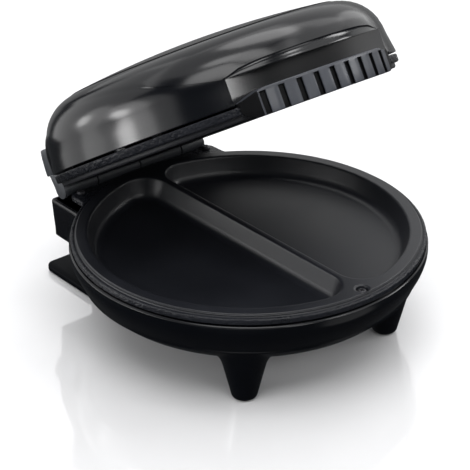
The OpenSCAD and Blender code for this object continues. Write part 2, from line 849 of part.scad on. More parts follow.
// Skin over the crown that runs down the rear wall
module top_cover() {
    color([0.1, 0.1, 0.11])
        lid_pose()
            from_lid_edge()
                difference() {
                    intersection() {
                        cover_zone(cover_t);
                        translate([0, 0, 0.6]) linear_extrude(200) cover_plan(0);
                    }
                    both_sides() {
                        translate([lens_x, lens_y, board_h]) cylinder(h = 40, r = lens_r + slip);
                        for (x = ear_screws_at)
                            translate([x, lid_rear_y - 4, 4.5])
                                rotate([-90, 0, 0]) cylinder(h = 6, r = screw_head_r + slip);
                    }
                }
}

// Floor plan of the grip between the recess wall and its curved front
module grip_plan(front_r) {
    polygon(concat(
        [[-grip_half - 2.6, -recess_y - seat], [-grip_half, -sqrt(pow(front_r - 1.8, 2) - pow(grip_half, 2))]],
        arc(0, 0, front_r, 270 - ribbed_angle, 270 + ribbed_angle, 24),
        [[grip_half, -sqrt(pow(front_r - 1.8, 2) - pow(grip_half, 2))], [grip_half + 2.6, -recess_y - seat]]
    ));
}

module grip() {
    lip_r = plate_r + 0.4;
    clear_h = lid_gap - seat;
    color([0.05, 0.05, 0.06])
        lid_pose()
            from_lid_edge()
                difference() {
                    translate([0, 0, -grip_drop]) linear_extrude(grip_drop + grip_top) grip_plan(grip_r);
                    translate([0, 0, -grip_drop - eps])
                        cylinder(h = grip_drop - clear_h + eps, r = lip_r, $fn = 180);
                    for (i = [0 : groove_count - 1])
                        rotate([0, 0, 2 * ribbed_angle * (i / (groove_count - 1) - 0.5)])
                            translate([-groove_w / 2, -grip_r - 3, -grip_drop - 1])
                                cube([groove_w, 3 + groove_d, grip_drop + grip_top - 1]);
                    both_sides() {
                        translate([ribbed_half, -grip_r, grip_top])
                            rotate([0, 22, 0]) cube([30, 40, 20]);
                        translate([30, -recess_y - 8, 2]) rotate([-90, 0, 0]) cylinder(h = 9, r = screw_r + slip);
                    }
                    translate([0, -front_screw_y, -clear_h - eps]) cylinder(h = 4.5, r = screw_r + slip);
                }
}

module upper_plate() {
    color([0.12, 0.12, 0.14])
        in_lid() cooking_plate(upper_flange_t, upper_land_h, upper_well_depth, upper_pan_depth);
}

module upper_element() {
    color([0.45, 0.42, 0.4]) over_plate() element();
}

module upper_element_clamps() {
    color([0.7, 0.7, 0.72]) over_plate() element_clamps();
}

module upper_reflector() {
    color([0.78, 0.78, 0.8]) over_plate() reflector();
}

module upper_reflector_screws() {
    color([0.6, 0.6, 0.62]) over_plate() reflector_fixings();
}

// Leads from the lid's rear opening over the plate's ledge to the upper element's ends
module lid_leads() {
    color([0.85, 0.82, 0.78])
        lid_pose()
            both_sides()
                lead([
                    [cold_end_x, cold_end_y + 6.5, upper_z + upper_pan_depth + element_down],
                    [14, cold_end_y + 17, lid_z + 8],
                    [6, plate_tail_y + 3, lid_z + 8],
                    [6, plate_tail_y + 3, lid_z + 0.5]
                ]);
}

// Moving knuckle with a tab that is screwed into the lid, and with the round ear unless its end is free
module lid_ear(end_x, free) {
    join_x = free ? end_x - 0.6 : end_x + 0.1;
    start_x = knuckle_x + knuckle_gap;
    tab_y = hinge_y - 3.2;
    tab_back = lid_rear_y - lid_skin - seat;
    difference() {
        union() {
            rod([start_x, hinge_y, hinge_z], [max(end_x, join_x), hinge_y, hinge_z], barrel_r);
            translate([start_x + 0.6, hinge_y - 2.6, hinge_z])
                cube([join_x - start_x - 0.6, 5.2, lid_z - lid_gap - hinge_z + seat]);
            translate([ear_tab_x, tab_y, lid_z - lid_gap - 0.2])
                cube([ear_tab_w, tab_back - tab_y, lid_gap + 8]);
            if (!free) {
                rod([end_x, hinge_y, hinge_z], [end_x + ear_t, hinge_y, hinge_z], ear_r);
                translate([end_x, hinge_y - ear_r, hinge_z])
                    cube([ear_t, 2 * ear_r - 1, lid_z - hinge_z - 0.3]);
            }
        }
        rod([knuckle_x, hinge_y, hinge_z], [end_x - (free ? 0.9 : 0.3), hinge_y, hinge_z], pin_r + pin_fit);
        for (x = ear_screws_at)
            translate([x, tab_y - 1, lid_z + 4.5]) rotate([-90, 0, 0]) cylinder(h = 12, r = screw_r + slip);
        for (p = [plate_screws_at[1]])
            translate([p[0], p[1], lid_z - lid_gap - 1]) cylinder(h = 30, r = 4.2);
    }
}

module lid_ear_right() {
    color([0.17, 0.17, 0.18]) lid_pose() lid_ear(right_end_x, true);
}

module lid_ear_left() {
    color([0.17, 0.17, 0.18]) lid_pose() mirror([1, 0, 0]) lid_ear(ear_in_x, false);
}

// Matt bar behind the lid's rear wall, which meets the housing when the lid is fully open
module hinge_cover() {
    foot = lid_z + 1.3;
    color([0.2, 0.2, 0.21])
        lid_pose()
            translate([-lid_box_w / 2 + 3, 0, 0])
                rotate([90, 0, 90])
                    linear_extrude(lid_box_w - 6)
                        polygon([
                            [lid_rear_y + seat, foot],
                            [lid_rear_y + hinge_cover_d, foot],
                            [hinge_cover_top_y, foot + hinge_cover_h],
                            [lid_rear_y + seat - 1, foot + hinge_cover_h],
                            [lid_rear_y + seat - 0.2, foot + hinge_cover_h * 0.6]
                        ]);
}

// Lamp lens through the top cover
module lens() {
    foot = crown(lens_y + lens_r + 2) - lid_skin - seat - 1.5;
    translate([0, lens_y, foot]) {
        cylinder(h = crown(lens_y) + 0.4 - foot, r = lens_r);
        cylinder(h = 1.5, r = lens_r + 1.2);
    }
}

module power_lens() {
    color([0.75, 0.08, 0.06]) lid_pose() from_lid_edge() translate([-lens_x, 0, 0]) lens();
}

module ready_lens() {
    color([0.1, 0.6, 0.15]) lid_pose() from_lid_edge() translate([lens_x, 0, 0]) lens();
}

// Small neon bulb on the board below its lens
module lamp() {
    translate([0, lens_y, board_h + 1.6]) {
        cylinder(h = 4, r = 2);
        translate([0, 0, 4]) sphere(2);
    }
}

module power_lamp() {
    color([0.9, 0.6, 0.5]) lid_pose() from_lid_edge() translate([-lens_x, 0, 0]) lamp();
}

module ready_lamp() {
    color([0.7, 0.9, 0.7]) lid_pose() from_lid_edge() translate([lens_x, 0, 0]) lamp();
}

module lamp_board() {
    color([0.1, 0.3, 0.15])
        lid_pose()
            from_lid_edge()
                translate([-lens_x - 11, lens_y - 7, board_h]) cube([2 * lens_x + 22, 14, 1.6]);
}

module upper_plate_screws() {
    color([0.5, 0.5, 0.52])
        in_lid()
            for (p = plate_screws_at)
                translate([p[0], p[1], -upper_land_h - (p[0] == 0 ? 1 : 0) + 0.1]) screw(p[0] == 0 ? 8 : 12);
}

module ear_screws() {
    color([0.5, 0.5, 0.52])
        lid_pose()
            from_lid_edge()
                both_sides()
                    for (x = ear_screws_at)
                        translate([x, lid_rear_y - cover_t - seat + 0.1, 4.5]) rotate([-90, 0, 0]) screw(7);
}

module grip_screws() {
    color([0.5, 0.5, 0.52])
        lid_pose()
            from_lid_edge()
                both_sides()
                    translate([30, -recess_y + lid_wall + 0.1, 2]) rotate([-90, 0, 0]) screw(8);
}

base_housing();
rear_stand();
foot_pads();
lower_plate();
lower_element();
lower_element_clamps();
lower_reflector();
thermostat();
thermal_fuse();
terminal_block();
base_leads();
cord_gland();
base_hinge();
hinge_pins();
lower_plate_screws();
stand_screws();
hinge_screws();
reflector_screws();
lid_shell();
top_cover();
grip();
upper_plate();
upper_element();
upper_element_clamps();
upper_reflector();
lid_leads();
lid_ear_left();
lid_ear_right();
hinge_cover();
power_lens();
ready_lens();
power_lamp();
ready_lamp();
lamp_board();
upper_plate_screws();
ear_screws();
grip_screws();
upper_reflector_screws();
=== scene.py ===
import math
from types import SimpleNamespace

import bmesh
import bpy
from bpy.props import FloatProperty, FloatVectorProperty, PointerProperty
from mathutils import Matrix, Vector


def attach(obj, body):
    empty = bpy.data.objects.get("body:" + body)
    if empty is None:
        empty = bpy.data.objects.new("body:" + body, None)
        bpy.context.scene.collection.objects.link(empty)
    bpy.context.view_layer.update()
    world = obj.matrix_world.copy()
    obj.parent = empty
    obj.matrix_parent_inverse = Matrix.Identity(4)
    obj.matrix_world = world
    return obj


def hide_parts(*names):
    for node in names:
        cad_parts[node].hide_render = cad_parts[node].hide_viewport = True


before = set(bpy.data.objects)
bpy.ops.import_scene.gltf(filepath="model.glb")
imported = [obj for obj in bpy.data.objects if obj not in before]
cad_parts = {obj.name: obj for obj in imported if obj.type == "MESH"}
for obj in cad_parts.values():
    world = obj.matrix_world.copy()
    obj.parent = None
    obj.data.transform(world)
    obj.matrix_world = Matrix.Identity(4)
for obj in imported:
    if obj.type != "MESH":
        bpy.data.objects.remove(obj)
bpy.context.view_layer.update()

bl_info = {
    "name": "Electric omelette maker",
    "version": (1, 0, 0),
    "blender": (4, 5, 0),
    "location": "View3D > Sidebar > Omelette maker",
    "description": "Builds the dressed pieces of a countertop omelette maker over its packed solids",
    "category": "Object",
}

# Shapes are drawn in millimetres about the bowl's axis, with the lid shut, and placed at the end.
MM = 0.001
# Forward shift of the bowl's axis that puts the whole object over its middle
MIDDLE = 15.0793


# Properties

def length(name, default, words):
    """Length property in metres."""
    return FloatProperty(name=name, description=words, default=default, unit="LENGTH", precision=5)


def paint(name, default, words):
    """Colour property."""
    return FloatVectorProperty(name=name, description=words, default=default, subtype="COLOR", size=3,
                               min=0.0, max=1.0)


class MakerSizes(bpy.types.PropertyGroup):
    """Sizes of the omelette maker, as its solids have them"""
    bowl_r: length("Bowl radius", 0.10999, "Radius of the bowl at its rim")
    bottom_z: length("Underside height", 0.030, "Height of the bowl's underside")
    box_half: length("Housing half width", 0.0635, "Half of the hinge housing's width")
    box_rear: length("Housing rear", 0.1215, "Distance of the housing's rear wall from the bowl's axis")
    box_top: length("Housing top", 0.060, "Height of the hinge housing's top")
    box_bottom: length("Housing bottom", 0.0345, "Height of the hinge housing's underside")
    foot_x: length("Foot sideways", 0.057, "Sideways distance of a front foot")
    foot_y: length("Foot forward", 0.0638, "Forward distance of a front foot")
    plate_r: length("Plate radius", 0.1088, "Radius of the cooking plates")
    land_r: length("Land radius", 0.106, "Radius of the raised land")
    well_r: length("Well radius", 0.098, "Radius of the wells' round side")
    land_z: length("Land height", 0.0681, "Height of the lower plate's land")
    shut_gap: length("Plate gap", 0.0005, "Gap between the plates' lands when the lid is shut")
    ear_half: length("Plate ear half width", 0.0577, "Half of the width of the plates' rear ears")
    ear_rear: length("Plate ear rear", 0.1083, "Distance of the plates' rear edge")
    lid_z: length("Lid edge height", 0.0775, "Height of the lid's edge when it is shut")
    lid_r: length("Lid radius", 0.1092, "Radius of the lid at its edge")
    lid_half: length("Lid rear half width", 0.0602, "Half of the width of the lid's rear part")
    lid_rear: length("Lid rear", 0.1187, "Distance of the lid's rear wall")
    crown_h: length("Crown height", 0.0462, "Height of the lid's crown above its edge")
    cover_r: length("Cover radius", 0.084, "Radius of the top cover")
    cover_half: length("Cover half width", 0.0582, "Half of the width of the cover's rear part")
    recess_half: length("Recess half width", 0.0572, "Half of the finger recess's width")
    recess_y: length("Recess wall", 0.089, "Forward distance of the finger recess's wall")
    hood_h: length("Hood height", 0.0153, "Height of the hood's lower edge above the lid's edge")
    grip_r: length("Grip radius", 0.1116, "Radius of the grip's ribbed face")
    hinge_y: length("Hinge distance", 0.1136, "Distance of the hinge axis behind the bowl's axis")
    hinge_z: length("Hinge height", 0.0675, "Height of the hinge axis")
    barrel_r: length("Barrel radius", 0.0048, "Radius of the hinge barrels")
    opening: FloatProperty(name="Lid opening", description="How far the lid stands open", subtype="ANGLE",
                           default=math.radians(31.5))


class MakerColours(bpy.types.PropertyGroup):
    """Colours of the omelette maker's finishes"""
    shell: paint("Gloss black", (0.0013, 0.0017, 0.0027), "Glossy plastic of the bowl and lid")
    cover: paint("Cover black", (0.0017, 0.0020, 0.0027), "Satin plastic of the top cover")
    grip: paint("Grip black", (0.026, 0.029, 0.037), "Satin plastic of the grip")
    plate: paint("Non-stick", (0.0075, 0.0082, 0.0108), "Coating of the cooking plates")
    cast: paint("Cast flange", (0.0065, 0.0072, 0.0098), "Rough cast band round the plates")
    hinge: paint("Hinge grey", (0.034, 0.037, 0.042), "Matt plastic of the hinge")
    steel: paint("Screw steel", (0.50, 0.50, 0.52), "Zinc-plated screws")
    floor: paint("Floor", (0.80, 0.80, 0.81), "Studio floor")


def sizes():
    """All sizes in millimetres."""
    group = bpy.context.scene.maker_sizes
    names = [key for key in MakerSizes.__annotations__ if key != "opening"]
    return SimpleNamespace(opening=group.opening, **{key: getattr(group, key) / MM for key in names})


# Shape helpers

def point(r, a, z):
    """Point at a distance from the axis, a degrees round from the front."""
    return Vector((r * math.sin(math.radians(a)), -r * math.cos(math.radians(a)), z))


def toward(azimuth, elevation):
    """Unit vector out of the object, in degrees round from its front and up from the floor."""
    turn, lift = math.radians(azimuth), math.radians(elevation)
    return Vector((math.sin(turn) * math.cos(lift), -math.cos(turn) * math.cos(lift), math.sin(lift)))


def off_front(a):
    """Angle from the front, to either side."""
    return min(a, 360 - a)


def columns(fine, marks=()):
    """Angles round the axis, with closer steps in the fine spans of both sides and exact marks."""
    wide, close = 3.0, 0.75
    steps = [wide * i for i in range(round(360 / wide))]
    for low, high in fine:
        span = [low + close * i for i in range(int((high - low) / close) + 1)]
        steps += span + [360.0 - a for a in span]
    both = sorted({m for mark in marks for m in (mark, 360.0 - mark)})
    steps = [a for a in steps if all(abs(a - m) > 0.5 for m in both)]
    return sorted({round(a, 3) for a in steps} | set(both))


def reach(a, circle, half, rear, sharp):
    """Distance of the outline of a circle with a box behind it, in a direction, with soft corners."""
    side = abs(math.sin(math.radians(a)))
    back = -math.cos(math.radians(a))
    if back < 0.05 or rear <= 0:
        return circle
    box = ((back / rear) ** sharp + (side / half) ** sharp) ** (-1 / sharp)
    return (circle ** sharp + box ** sharp) ** (1 / sharp)


def sheet(bm, cols, rows, place):
    """Grid of faces whose every corner is placed by its column and row; its faces by column and row."""
    made = bmesh.ops.create_grid(bm, x_segments=cols, y_segments=rows, size=0.5)["verts"]
    faces = {}
    for face in {f for v in made for f in v.link_faces}:
        middle = face.calc_center_median()
        faces[int((middle.x + 0.5) * cols), int((middle.y + 0.5) * rows)] = face
    for v in made:
        v.co = place(round((v.co.x + 0.5) * cols), round((v.co.y + 0.5) * rows))
    return faces


def ringed(bm, angles, rows, place):
    """Closed ring of columns at the given angles; place takes an angle and a row."""
    turn = angles + [angles[0]]
    return sheet(bm, len(angles), rows, lambda i, j: place(turn[i], j))


def turned(bm, profile, steps, matrix=None):
    """Profile of radius and height spun round the Z axis, then placed by a matrix."""
    before = set(bm.verts)
    verts = [bm.verts.new((r, 0, z)) for r, z in profile]
    edges = [bm.edges.new(pair) for pair in zip(verts, verts[1:])]
    bmesh.ops.spin(bm, geom=verts + edges, cent=(0, 0, 0), axis=(0, 0, 1), angle=math.tau, steps=steps,
                   use_merge=True)
    made = [v for v in bm.verts if v not in before]
    bmesh.ops.remove_doubles(bm, verts=made, dist=0.001)
    made = [v for v in bm.verts if v not in before]
    if matrix is not None:
        bmesh.ops.transform(bm, matrix=matrix, verts=made)


def merged(bm, apart=0.002):
    """Joins points that lie closer than a distance."""
    bmesh.ops.remove_doubles(bm, verts=bm.verts, dist=apart)


def rounded(bm, edges, width, segments=3):
    """Rounds edges."""
    bmesh.ops.bevel(bm, geom=edges, offset=width, segments=segments, profile=0.5, affect="EDGES", material=-1,
                    clamp_overlap=True)


def inset_rim(bm, faces, width, depth=0):
    """Insets faces as one region; returns the strip of new faces round it."""
    return bmesh.ops.inset_region(bm, faces=faces, thickness=width, depth=depth, use_boundary=True,
                                  use_even_offset=False)["faces"]


def raised(bm, h):
    """Lifts the whole mesh."""
    bmesh.ops.translate(bm, verts=bm.verts, vec=(0, 0, h))


def drawn(bm, edges, move):
    """Edges extruded, with the new ends moved; returns the new edges."""
    made = bmesh.ops.extrude_edge_only(bm, edges=edges)["geom"]
    for v in made:
        if isinstance(v, bmesh.types.BMVert):
            v.co = move(v.co)
    return [e for e in made if isinstance(e, bmesh.types.BMEdge)]


def block(bm, low, high, bevel):
    """Box between two corners with rounded edges."""
    low, high = Vector(low), Vector(high)
    size = high - low
    made = bmesh.ops.create_cube(bm, size=1.0, matrix=Matrix.Translation((low + high) / 2) @
                                 Matrix.Diagonal((size.x, size.y, size.z, 1)))["verts"]
    rounded(bm, list({e for v in made for e in v.link_edges}), bevel, 2)


def open_edges(bm):
    """Edges of holes in the mesh."""
    return [e for e in bm.edges if e.is_boundary]


def level_edges(bm, z):
    """Open edges at a height."""
    return [e for e in open_edges(bm) if all(abs(v.co.z - z) < 0.01 for v in e.verts)]


def cap(bm, edges, normal=(0, 0, 1)):
    """Flat fill between closed outlines."""
    bmesh.ops.triangle_fill(bm, edges=edges, use_beauty=True, use_dissolve=False, normal=normal)


def settle(s, in_lid):
    """Matrix from the drawing to the row frame in metres."""
    matrix = Matrix.Translation((0, -MIDDLE, 0))
    if in_lid:
        axis = Vector((0, s.hinge_y, s.hinge_z))
        swing = Matrix.Rotation(-s.opening, 4, "X")
        matrix = matrix @ Matrix.Translation(axis) @ swing @ Matrix.Translation(-axis)
    return Matrix.Diagonal((MM, MM, MM, 1)) @ matrix


def linked(name, bm):
    """Object in the scene that holds the finished mesh."""
    mesh = bpy.data.meshes.new(name)
    bm.to_mesh(mesh)
    bm.free()
    obj = bpy.data.objects.new(name, mesh)
    bpy.context.scene.collection.objects.link(obj)
    return obj


def piece(name, bm, body, looks, slot, nodes, solid=0.0, bevel=0.0, up=None, crisp=32):
    """Makes a mesh into a placed piece that rides on a body and stands for its CAD nodes.

    solid and bevel are millimetres of wall and edge rounding, up is a spot whose nearest face has to
    look up, and crisp is the angle from which edges are shaded sharp.
    """
    merged(bm)
    bmesh.ops.recalc_face_normals(bm, faces=bm.faces)
    if up is not None:
        nearest = min(bm.faces, key=lambda f: (f.calc_center_median() - Vector(up)).length)
        if nearest.normal.z < 0:
            bmesh.ops.reverse_faces(bm, faces=bm.faces)
    bmesh.ops.transform(bm, matrix=settle(sizes(), body == "lid"), verts=bm.verts)
    for face in bm.faces:
        face.smooth = True
    for edge in bm.edges:
        edge.smooth = len(edge.link_faces) != 2 or edge.calc_face_angle(0) < math.radians(crisp)
    obj = linked(name, bm)
    for look in looks if isinstance(looks, list) else [looks]:
        obj.data.materials.append(look)
    if solid:
        wall = obj.modifiers.new("Wall", "SOLIDIFY")
        wall.thickness = solid * MM
        wall.offset = -1
        wall.use_even_offset = False
    if bevel:
        edge = obj.modifiers.new("Edge", "BEVEL")
        edge.width = bevel * MM
        edge.segments = 2
        edge.limit_method = "ANGLE"
        edge.angle_limit = math.radians(40)
        edge.harden_normals = True
    bpy.context.view_layer.update()
    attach(obj, body)
    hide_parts(*nodes)


# Finishes

def finish(name, colour, rough, grain=900.0, depth=0.0, spread=0.25, metallic=0.0, coat=0.0, wave=0.0,
           rough_spread=0.06, fleck=0.0, stretch=(1, 1, 1), specular=0.5, transmission=0.0, relief=0.0004):
    """Procedural finish: a base colour that varies with a soft and a fine noise, and a fine bump.

    depth and relief are the fine bump's strength and height, wave is the strength of a slow swell,
    fleck brightens small dots and stretch draws the grain out, as on brushed metal.
    """
    if name in bpy.data.materials:
        return bpy.data.materials[name]
    mat = bpy.data.materials.new(name)
    mat.use_nodes = True
    nodes, links = mat.node_tree.nodes, mat.node_tree.links

    def wire(node, inputs):
        """Sets a node's inputs to values, or links them to other nodes' outputs."""
        for key, value in inputs.items():
            if isinstance(value, bpy.types.NodeSocket):
                links.new(value, node.inputs[key])
            else:
                node.inputs[key].default_value = value
        return node

    def add(kind, inputs):
        return wire(nodes.new("ShaderNode" + kind), inputs)

    def times(share):
        return (*[min(1, c * share) for c in colour], 1)

    spot = nodes.new("ShaderNodeTexCoord").outputs["Object"]
    spot = add("Mapping", {"Vector": spot, "Scale": stretch}).outputs["Vector"]
    soft = add("TexNoise", {"Vector": spot, "Scale": 22.0, "Detail": 3.0}).outputs["Fac"]
    fine = add("TexNoise", {"Vector": spot, "Scale": grain, "Detail": 4.0}).outputs["Fac"]
    part = add("Math", {0: soft, 1: 0.65})
    part.operation = "MULTIPLY"
    mixed = add("Math", {0: fine, 1: 0.35, 2: part.outputs[0]})
    mixed.operation = "MULTIPLY_ADD"
    mixed = mixed.outputs[0]
    ramp = add("ValToRGB", {"Fac": mixed})
    low, high = ramp.color_ramp.elements
    low.position, high.position = 0.3, 0.7
    low.color, high.color = times(1 - spread), times(1 + spread)
    base = ramp.outputs["Color"]
    if fleck:
        dots = add("TexVoronoi", {"Vector": spot, "Scale": 420.0})
        pick = add("MapRange", {"Value": dots.outputs["Distance"], "From Min": 0.16, "From Max": 0.10})
        tint = nodes.new("ShaderNodeMix")
        tint.data_type = "RGBA"
        wire(tint, {"B": times(1 + fleck), "Factor": pick.outputs["Result"], "A": base})
        base = tint.outputs["Result"]
    gloss = add("MapRange", {"Value": mixed, "From Min": 0.3, "From Max": 0.7,
                             "To Min": max(0.02, rough - rough_spread), "To Max": rough + rough_spread})
    bump = add("Bump", {"Height": fine, "Distance": relief, "Strength": max(depth, 0.01)})
    if wave:
        swell = add("Bump", {"Height": soft, "Distance": 0.004, "Strength": wave})
        wire(bump, {"Normal": swell.outputs["Normal"]})
    wire(nodes["Principled BSDF"], {
        "Base Color": base, "Roughness": gloss.outputs["Result"], "Normal": bump.outputs["Normal"],
        "Metallic": metallic, "Coat Weight": coat, "Coat Roughness": 0.08, "Specular IOR Level": specular,
        "Transmission Weight": transmission,
    })
    return mat


def finishes():
    """The finishes by name."""
    c = bpy.context.scene.maker_colours
    return SimpleNamespace(
        shell=finish("piano_black_plastic", c.shell, 0.18, 1400, 0.01, 0.2, wave=0.004, rough_spread=0.02),
        # band is painted shade: a dark matte black with little shine for the lid's seat groove and the band
        # at its rear corners
        band=finish("painted_shade_lid_band", (0.0012, 0.0014, 0.002), 0.34, 1400, 0.03, 0.3, specular=0.12),
        bowl=finish("bowl_gloss_black", (0.0011, 0.0015, 0.0026), 0.20, 1600, 0.0, 0.25, rough_spread=0.02,
                    specular=0.38),
        cover=finish("satin_black_cover", c.cover, 0.24, 1500, 0.05, 0.2, rough_spread=0.04, specular=0.5),
        grip=finish("satin_grip_plastic", c.grip, 0.32, 1300, 0.06, 0.25, specular=0.5),
        # groove is a near-black matte with little shine: painted shade in the grip's grooves and the cover's
        # seam, and the grip ends' own black
        groove=finish("painted_groove_shade_black", (0.0012, 0.0013, 0.0018), 0.5, 1300, 0.1, 0.3, specular=0.15),
        plate=finish("nonstick_coating", c.plate, 0.38, 1800, 0.16, 0.25, fleck=1.0),
        cast=finish("rough_cast_flange", c.cast, 0.30, 430, 1.0, 0.45, rough_spread=0.10, fleck=0.6,
                    specular=0.28, relief=0.0010),
        hinge=finish("matt_hinge_plastic", c.hinge, 0.42, 1100, 0.20, 0.2),
        stand=finish("matt_stand_plastic", (0.0012, 0.0016, 0.0024), 0.40, 1200, 0.15, 0.2, specular=0.03),
        rubber=finish("black_rubber", (0.012, 0.012, 0.012), 0.78, 900, 0.4, 0.3),
        oxide=finish("black_oxide_steel", (0.045, 0.045, 0.05), 0.36, 500, 0.08, 0.25, metallic=0.6),
        steel=finish("zinc_plated_steel", c.steel, 0.32, 500, 0.06, 0.15, metallic=1.0),
        element=finish("heat_tinted_steel", (0.27, 0.235, 0.21), 0.42, 260, 0.12, 0.35, metallic=1.0),
        aluminium=finish("brushed_aluminium", (0.72, 0.73, 0.75), 0.33, 300, 0.10, 0.1, metallic=1.0,
                         stretch=(1, 9, 1)),
        ceramic=finish("white_ceramic", (0.78, 0.76, 0.70), 0.42, 500, 0.10, 0.06),
        sleeve=finish("woven_lead_sleeve", (0.70, 0.66, 0.60), 0.80, 2600, 0.8, 0.25),
        red=finish("red_lens", (0.55, 0.02, 0.015), 0.12, 800, 0.02, 0.15, coat=0.5, transmission=0.25),
        green=finish("green_lens", (0.02, 0.36, 0.06), 0.12, 800, 0.02, 0.15, coat=0.5, transmission=0.25),
        glass=finish("lamp_glass", (0.82, 0.66, 0.55), 0.08, 500, 0.02, 0.12, transmission=0.7),
        board=finish("green_circuit_board", (0.015, 0.10, 0.04), 0.45, 700, 0.15, 0.3),
    )


# Forms that several pieces share

# Profile of the lid from its edge up: a drafted side, a round shoulder, then the crown above the seam
SIDE_H, SIDE_DRAFT = 13.5, 2.2
SHOULDER_OUT, SHOULDER_R = 80, 27
SEAM_H, CROWN_DROP = 40.2, 6
# Profile of its rear: a straight wall, then two arcs, each with its foot's height and its radius
REAR_ARC_H, REAR_ARC_R = 9.3, 20
BACK_ARC_H, BACK_ARC_R = 26.5, 100
BACK_ARC_Y, BACK_ARC_Z = 58, -59.6
# Angle behind which the columns follow the lid's rear corners
REAR_TURN = 112
# Angle from which the style line fades, the span in which it does, its step and the step's reach below
STYLE_END, STYLE_FADE = 95, 30
STYLE_STEP, STYLE_REACH = 0.35, 5
# The hood's brow: the span in which it fades at each end, its hollow and its lip
BROW_FADE, BROW_HOLLOW, BROW_LIP = 5, 0.4, 0.3
# Sharpness of the rear corners of the lid and plates, and of the hinge housing
SOFT_CORNER, SHARP_CORNER = 60, 110

# Rows of the lid's skin: heights of the low rows, and counts of those above
LOW_ROWS = (0.0, 0.5, 4.0, 8.0, 12.0, 15.3)
SIDE_ROWS = 10
SHOULDER_ROWS = 8
CROWN_ROWS = 10
SHOULDER_ROW = len(LOW_ROWS) + SIDE_ROWS
SEAM_ROW = SHOULDER_ROW + SHOULDER_ROWS - 1

# Distance of a well's straight side from the middle, and radius of its soft corners
WELL_STRAIGHT, WELL_CORNER = 2.5, 16
# Steps of a well's outline along each soft corner and along its round side
CORNER_STEPS, ROUND_STEPS = 10, 28
WELL_POINTS = 2 * CORNER_STEPS + ROUND_STEPS + 1

# Places of each plate's screws, the first one in front between the wells
PLATE_SCREWS = ((0, -101), (51, 104.7), (-51, 104.7))
# Heights of the plates' lands above their rims
LOWER_LAND, UPPER_LAND = 1.9, 2.9

# Heights of the bowl's crease and of the foot of its straight side, and the crease's above the underside
CREASE_Z, SIDE_Z, CREASE_H = 40, 57, 10
# Radii of the bowl's flat underside and of its crease, and how far each lies inside the rim
UNDERSIDE_R, CREASE_R = 90, 102.5
UNDERSIDE_IN, CREASE_IN = 20, 7.5
# Rise of the underside out to the crease: its shares that grow evenly and faster and faster
EVEN_RISE, CURVED_RISE = 0.45, 0.55
# Sideways distance of the stand's posts
POST_X = 36
# Height at which the lid's ears meet its edge
EAR_TOP = 76.4


def lid_circle(s, h):
    """Radius of the lid's round part at a height above its edge."""
    if h <= SIDE_H:
        return s.lid_r - SIDE_DRAFT * h / SIDE_H
    if h <= SEAM_H:
        return SHOULDER_OUT + math.sqrt(max(SHOULDER_R ** 2 - (h - SIDE_H) ** 2, 16))
    return s.cover_r * math.sqrt(max(s.crown_h - h, 0) / CROWN_DROP)


def lid_back(s, h):
    """Distance of the lid's rear at a height above its edge."""
    if h <= REAR_ARC_H:
        return s.lid_rear
    if h <= BACK_ARC_H:
        return s.lid_rear - REAR_ARC_R + math.sqrt(REAR_ARC_R ** 2 - (h - REAR_ARC_H) ** 2)
    if h <= SEAM_H + 0.15:
        return BACK_ARC_Y + math.sqrt(BACK_ARC_R ** 2 - (h - BACK_ARC_Z) ** 2)
    return 0


def style_line(a):
    """Height of the style line round the lid: high at the sides, running down into the hood's brow."""
    a = off_front(a)
    path = ((0, 20.6), (20, 20.2), (27, 19.0), (31, 16.6), (33.3, 15.9), (46, 21.3), (60, 29.3),
            (70, 32.3), (79, 33.4), (90, 34.8), (115, 36.0), (180, 36.0))
    for (a0, h0), (a1, h1) in zip(path, path[1:]):
        if a <= a1:
            return h0 + (h1 - h0) * (a - a0) / (a1 - a0)
    return path[-1][1]


def lid_outline(s, a, h):
    """Distance of the lid's side at a height above its edge, in a direction."""
    return reach(a, lid_circle(s, h), s.lid_half, lid_back(s, h), SOFT_CORNER)


def follow(s, a, h):
    """Angle of a column at a height, so that the columns behind follow the lid's rear corners."""
    turn = off_front(a)
    if turn <= REAR_TURN:
        return a
    low = 180 - math.degrees(math.atan2(s.lid_half, s.lid_rear))
    here = 180 - math.degrees(math.atan2(s.lid_half, lid_back(s, min(h, SEAM_H))))
    if turn < low:
        turn = REAR_TURN + (turn - REAR_TURN) * (here - REAR_TURN) / (low - REAR_TURN)
    else:
        turn = here + (turn - low) * (180 - here) / (180 - low)
    return turn if a <= 180 else 360 - turn


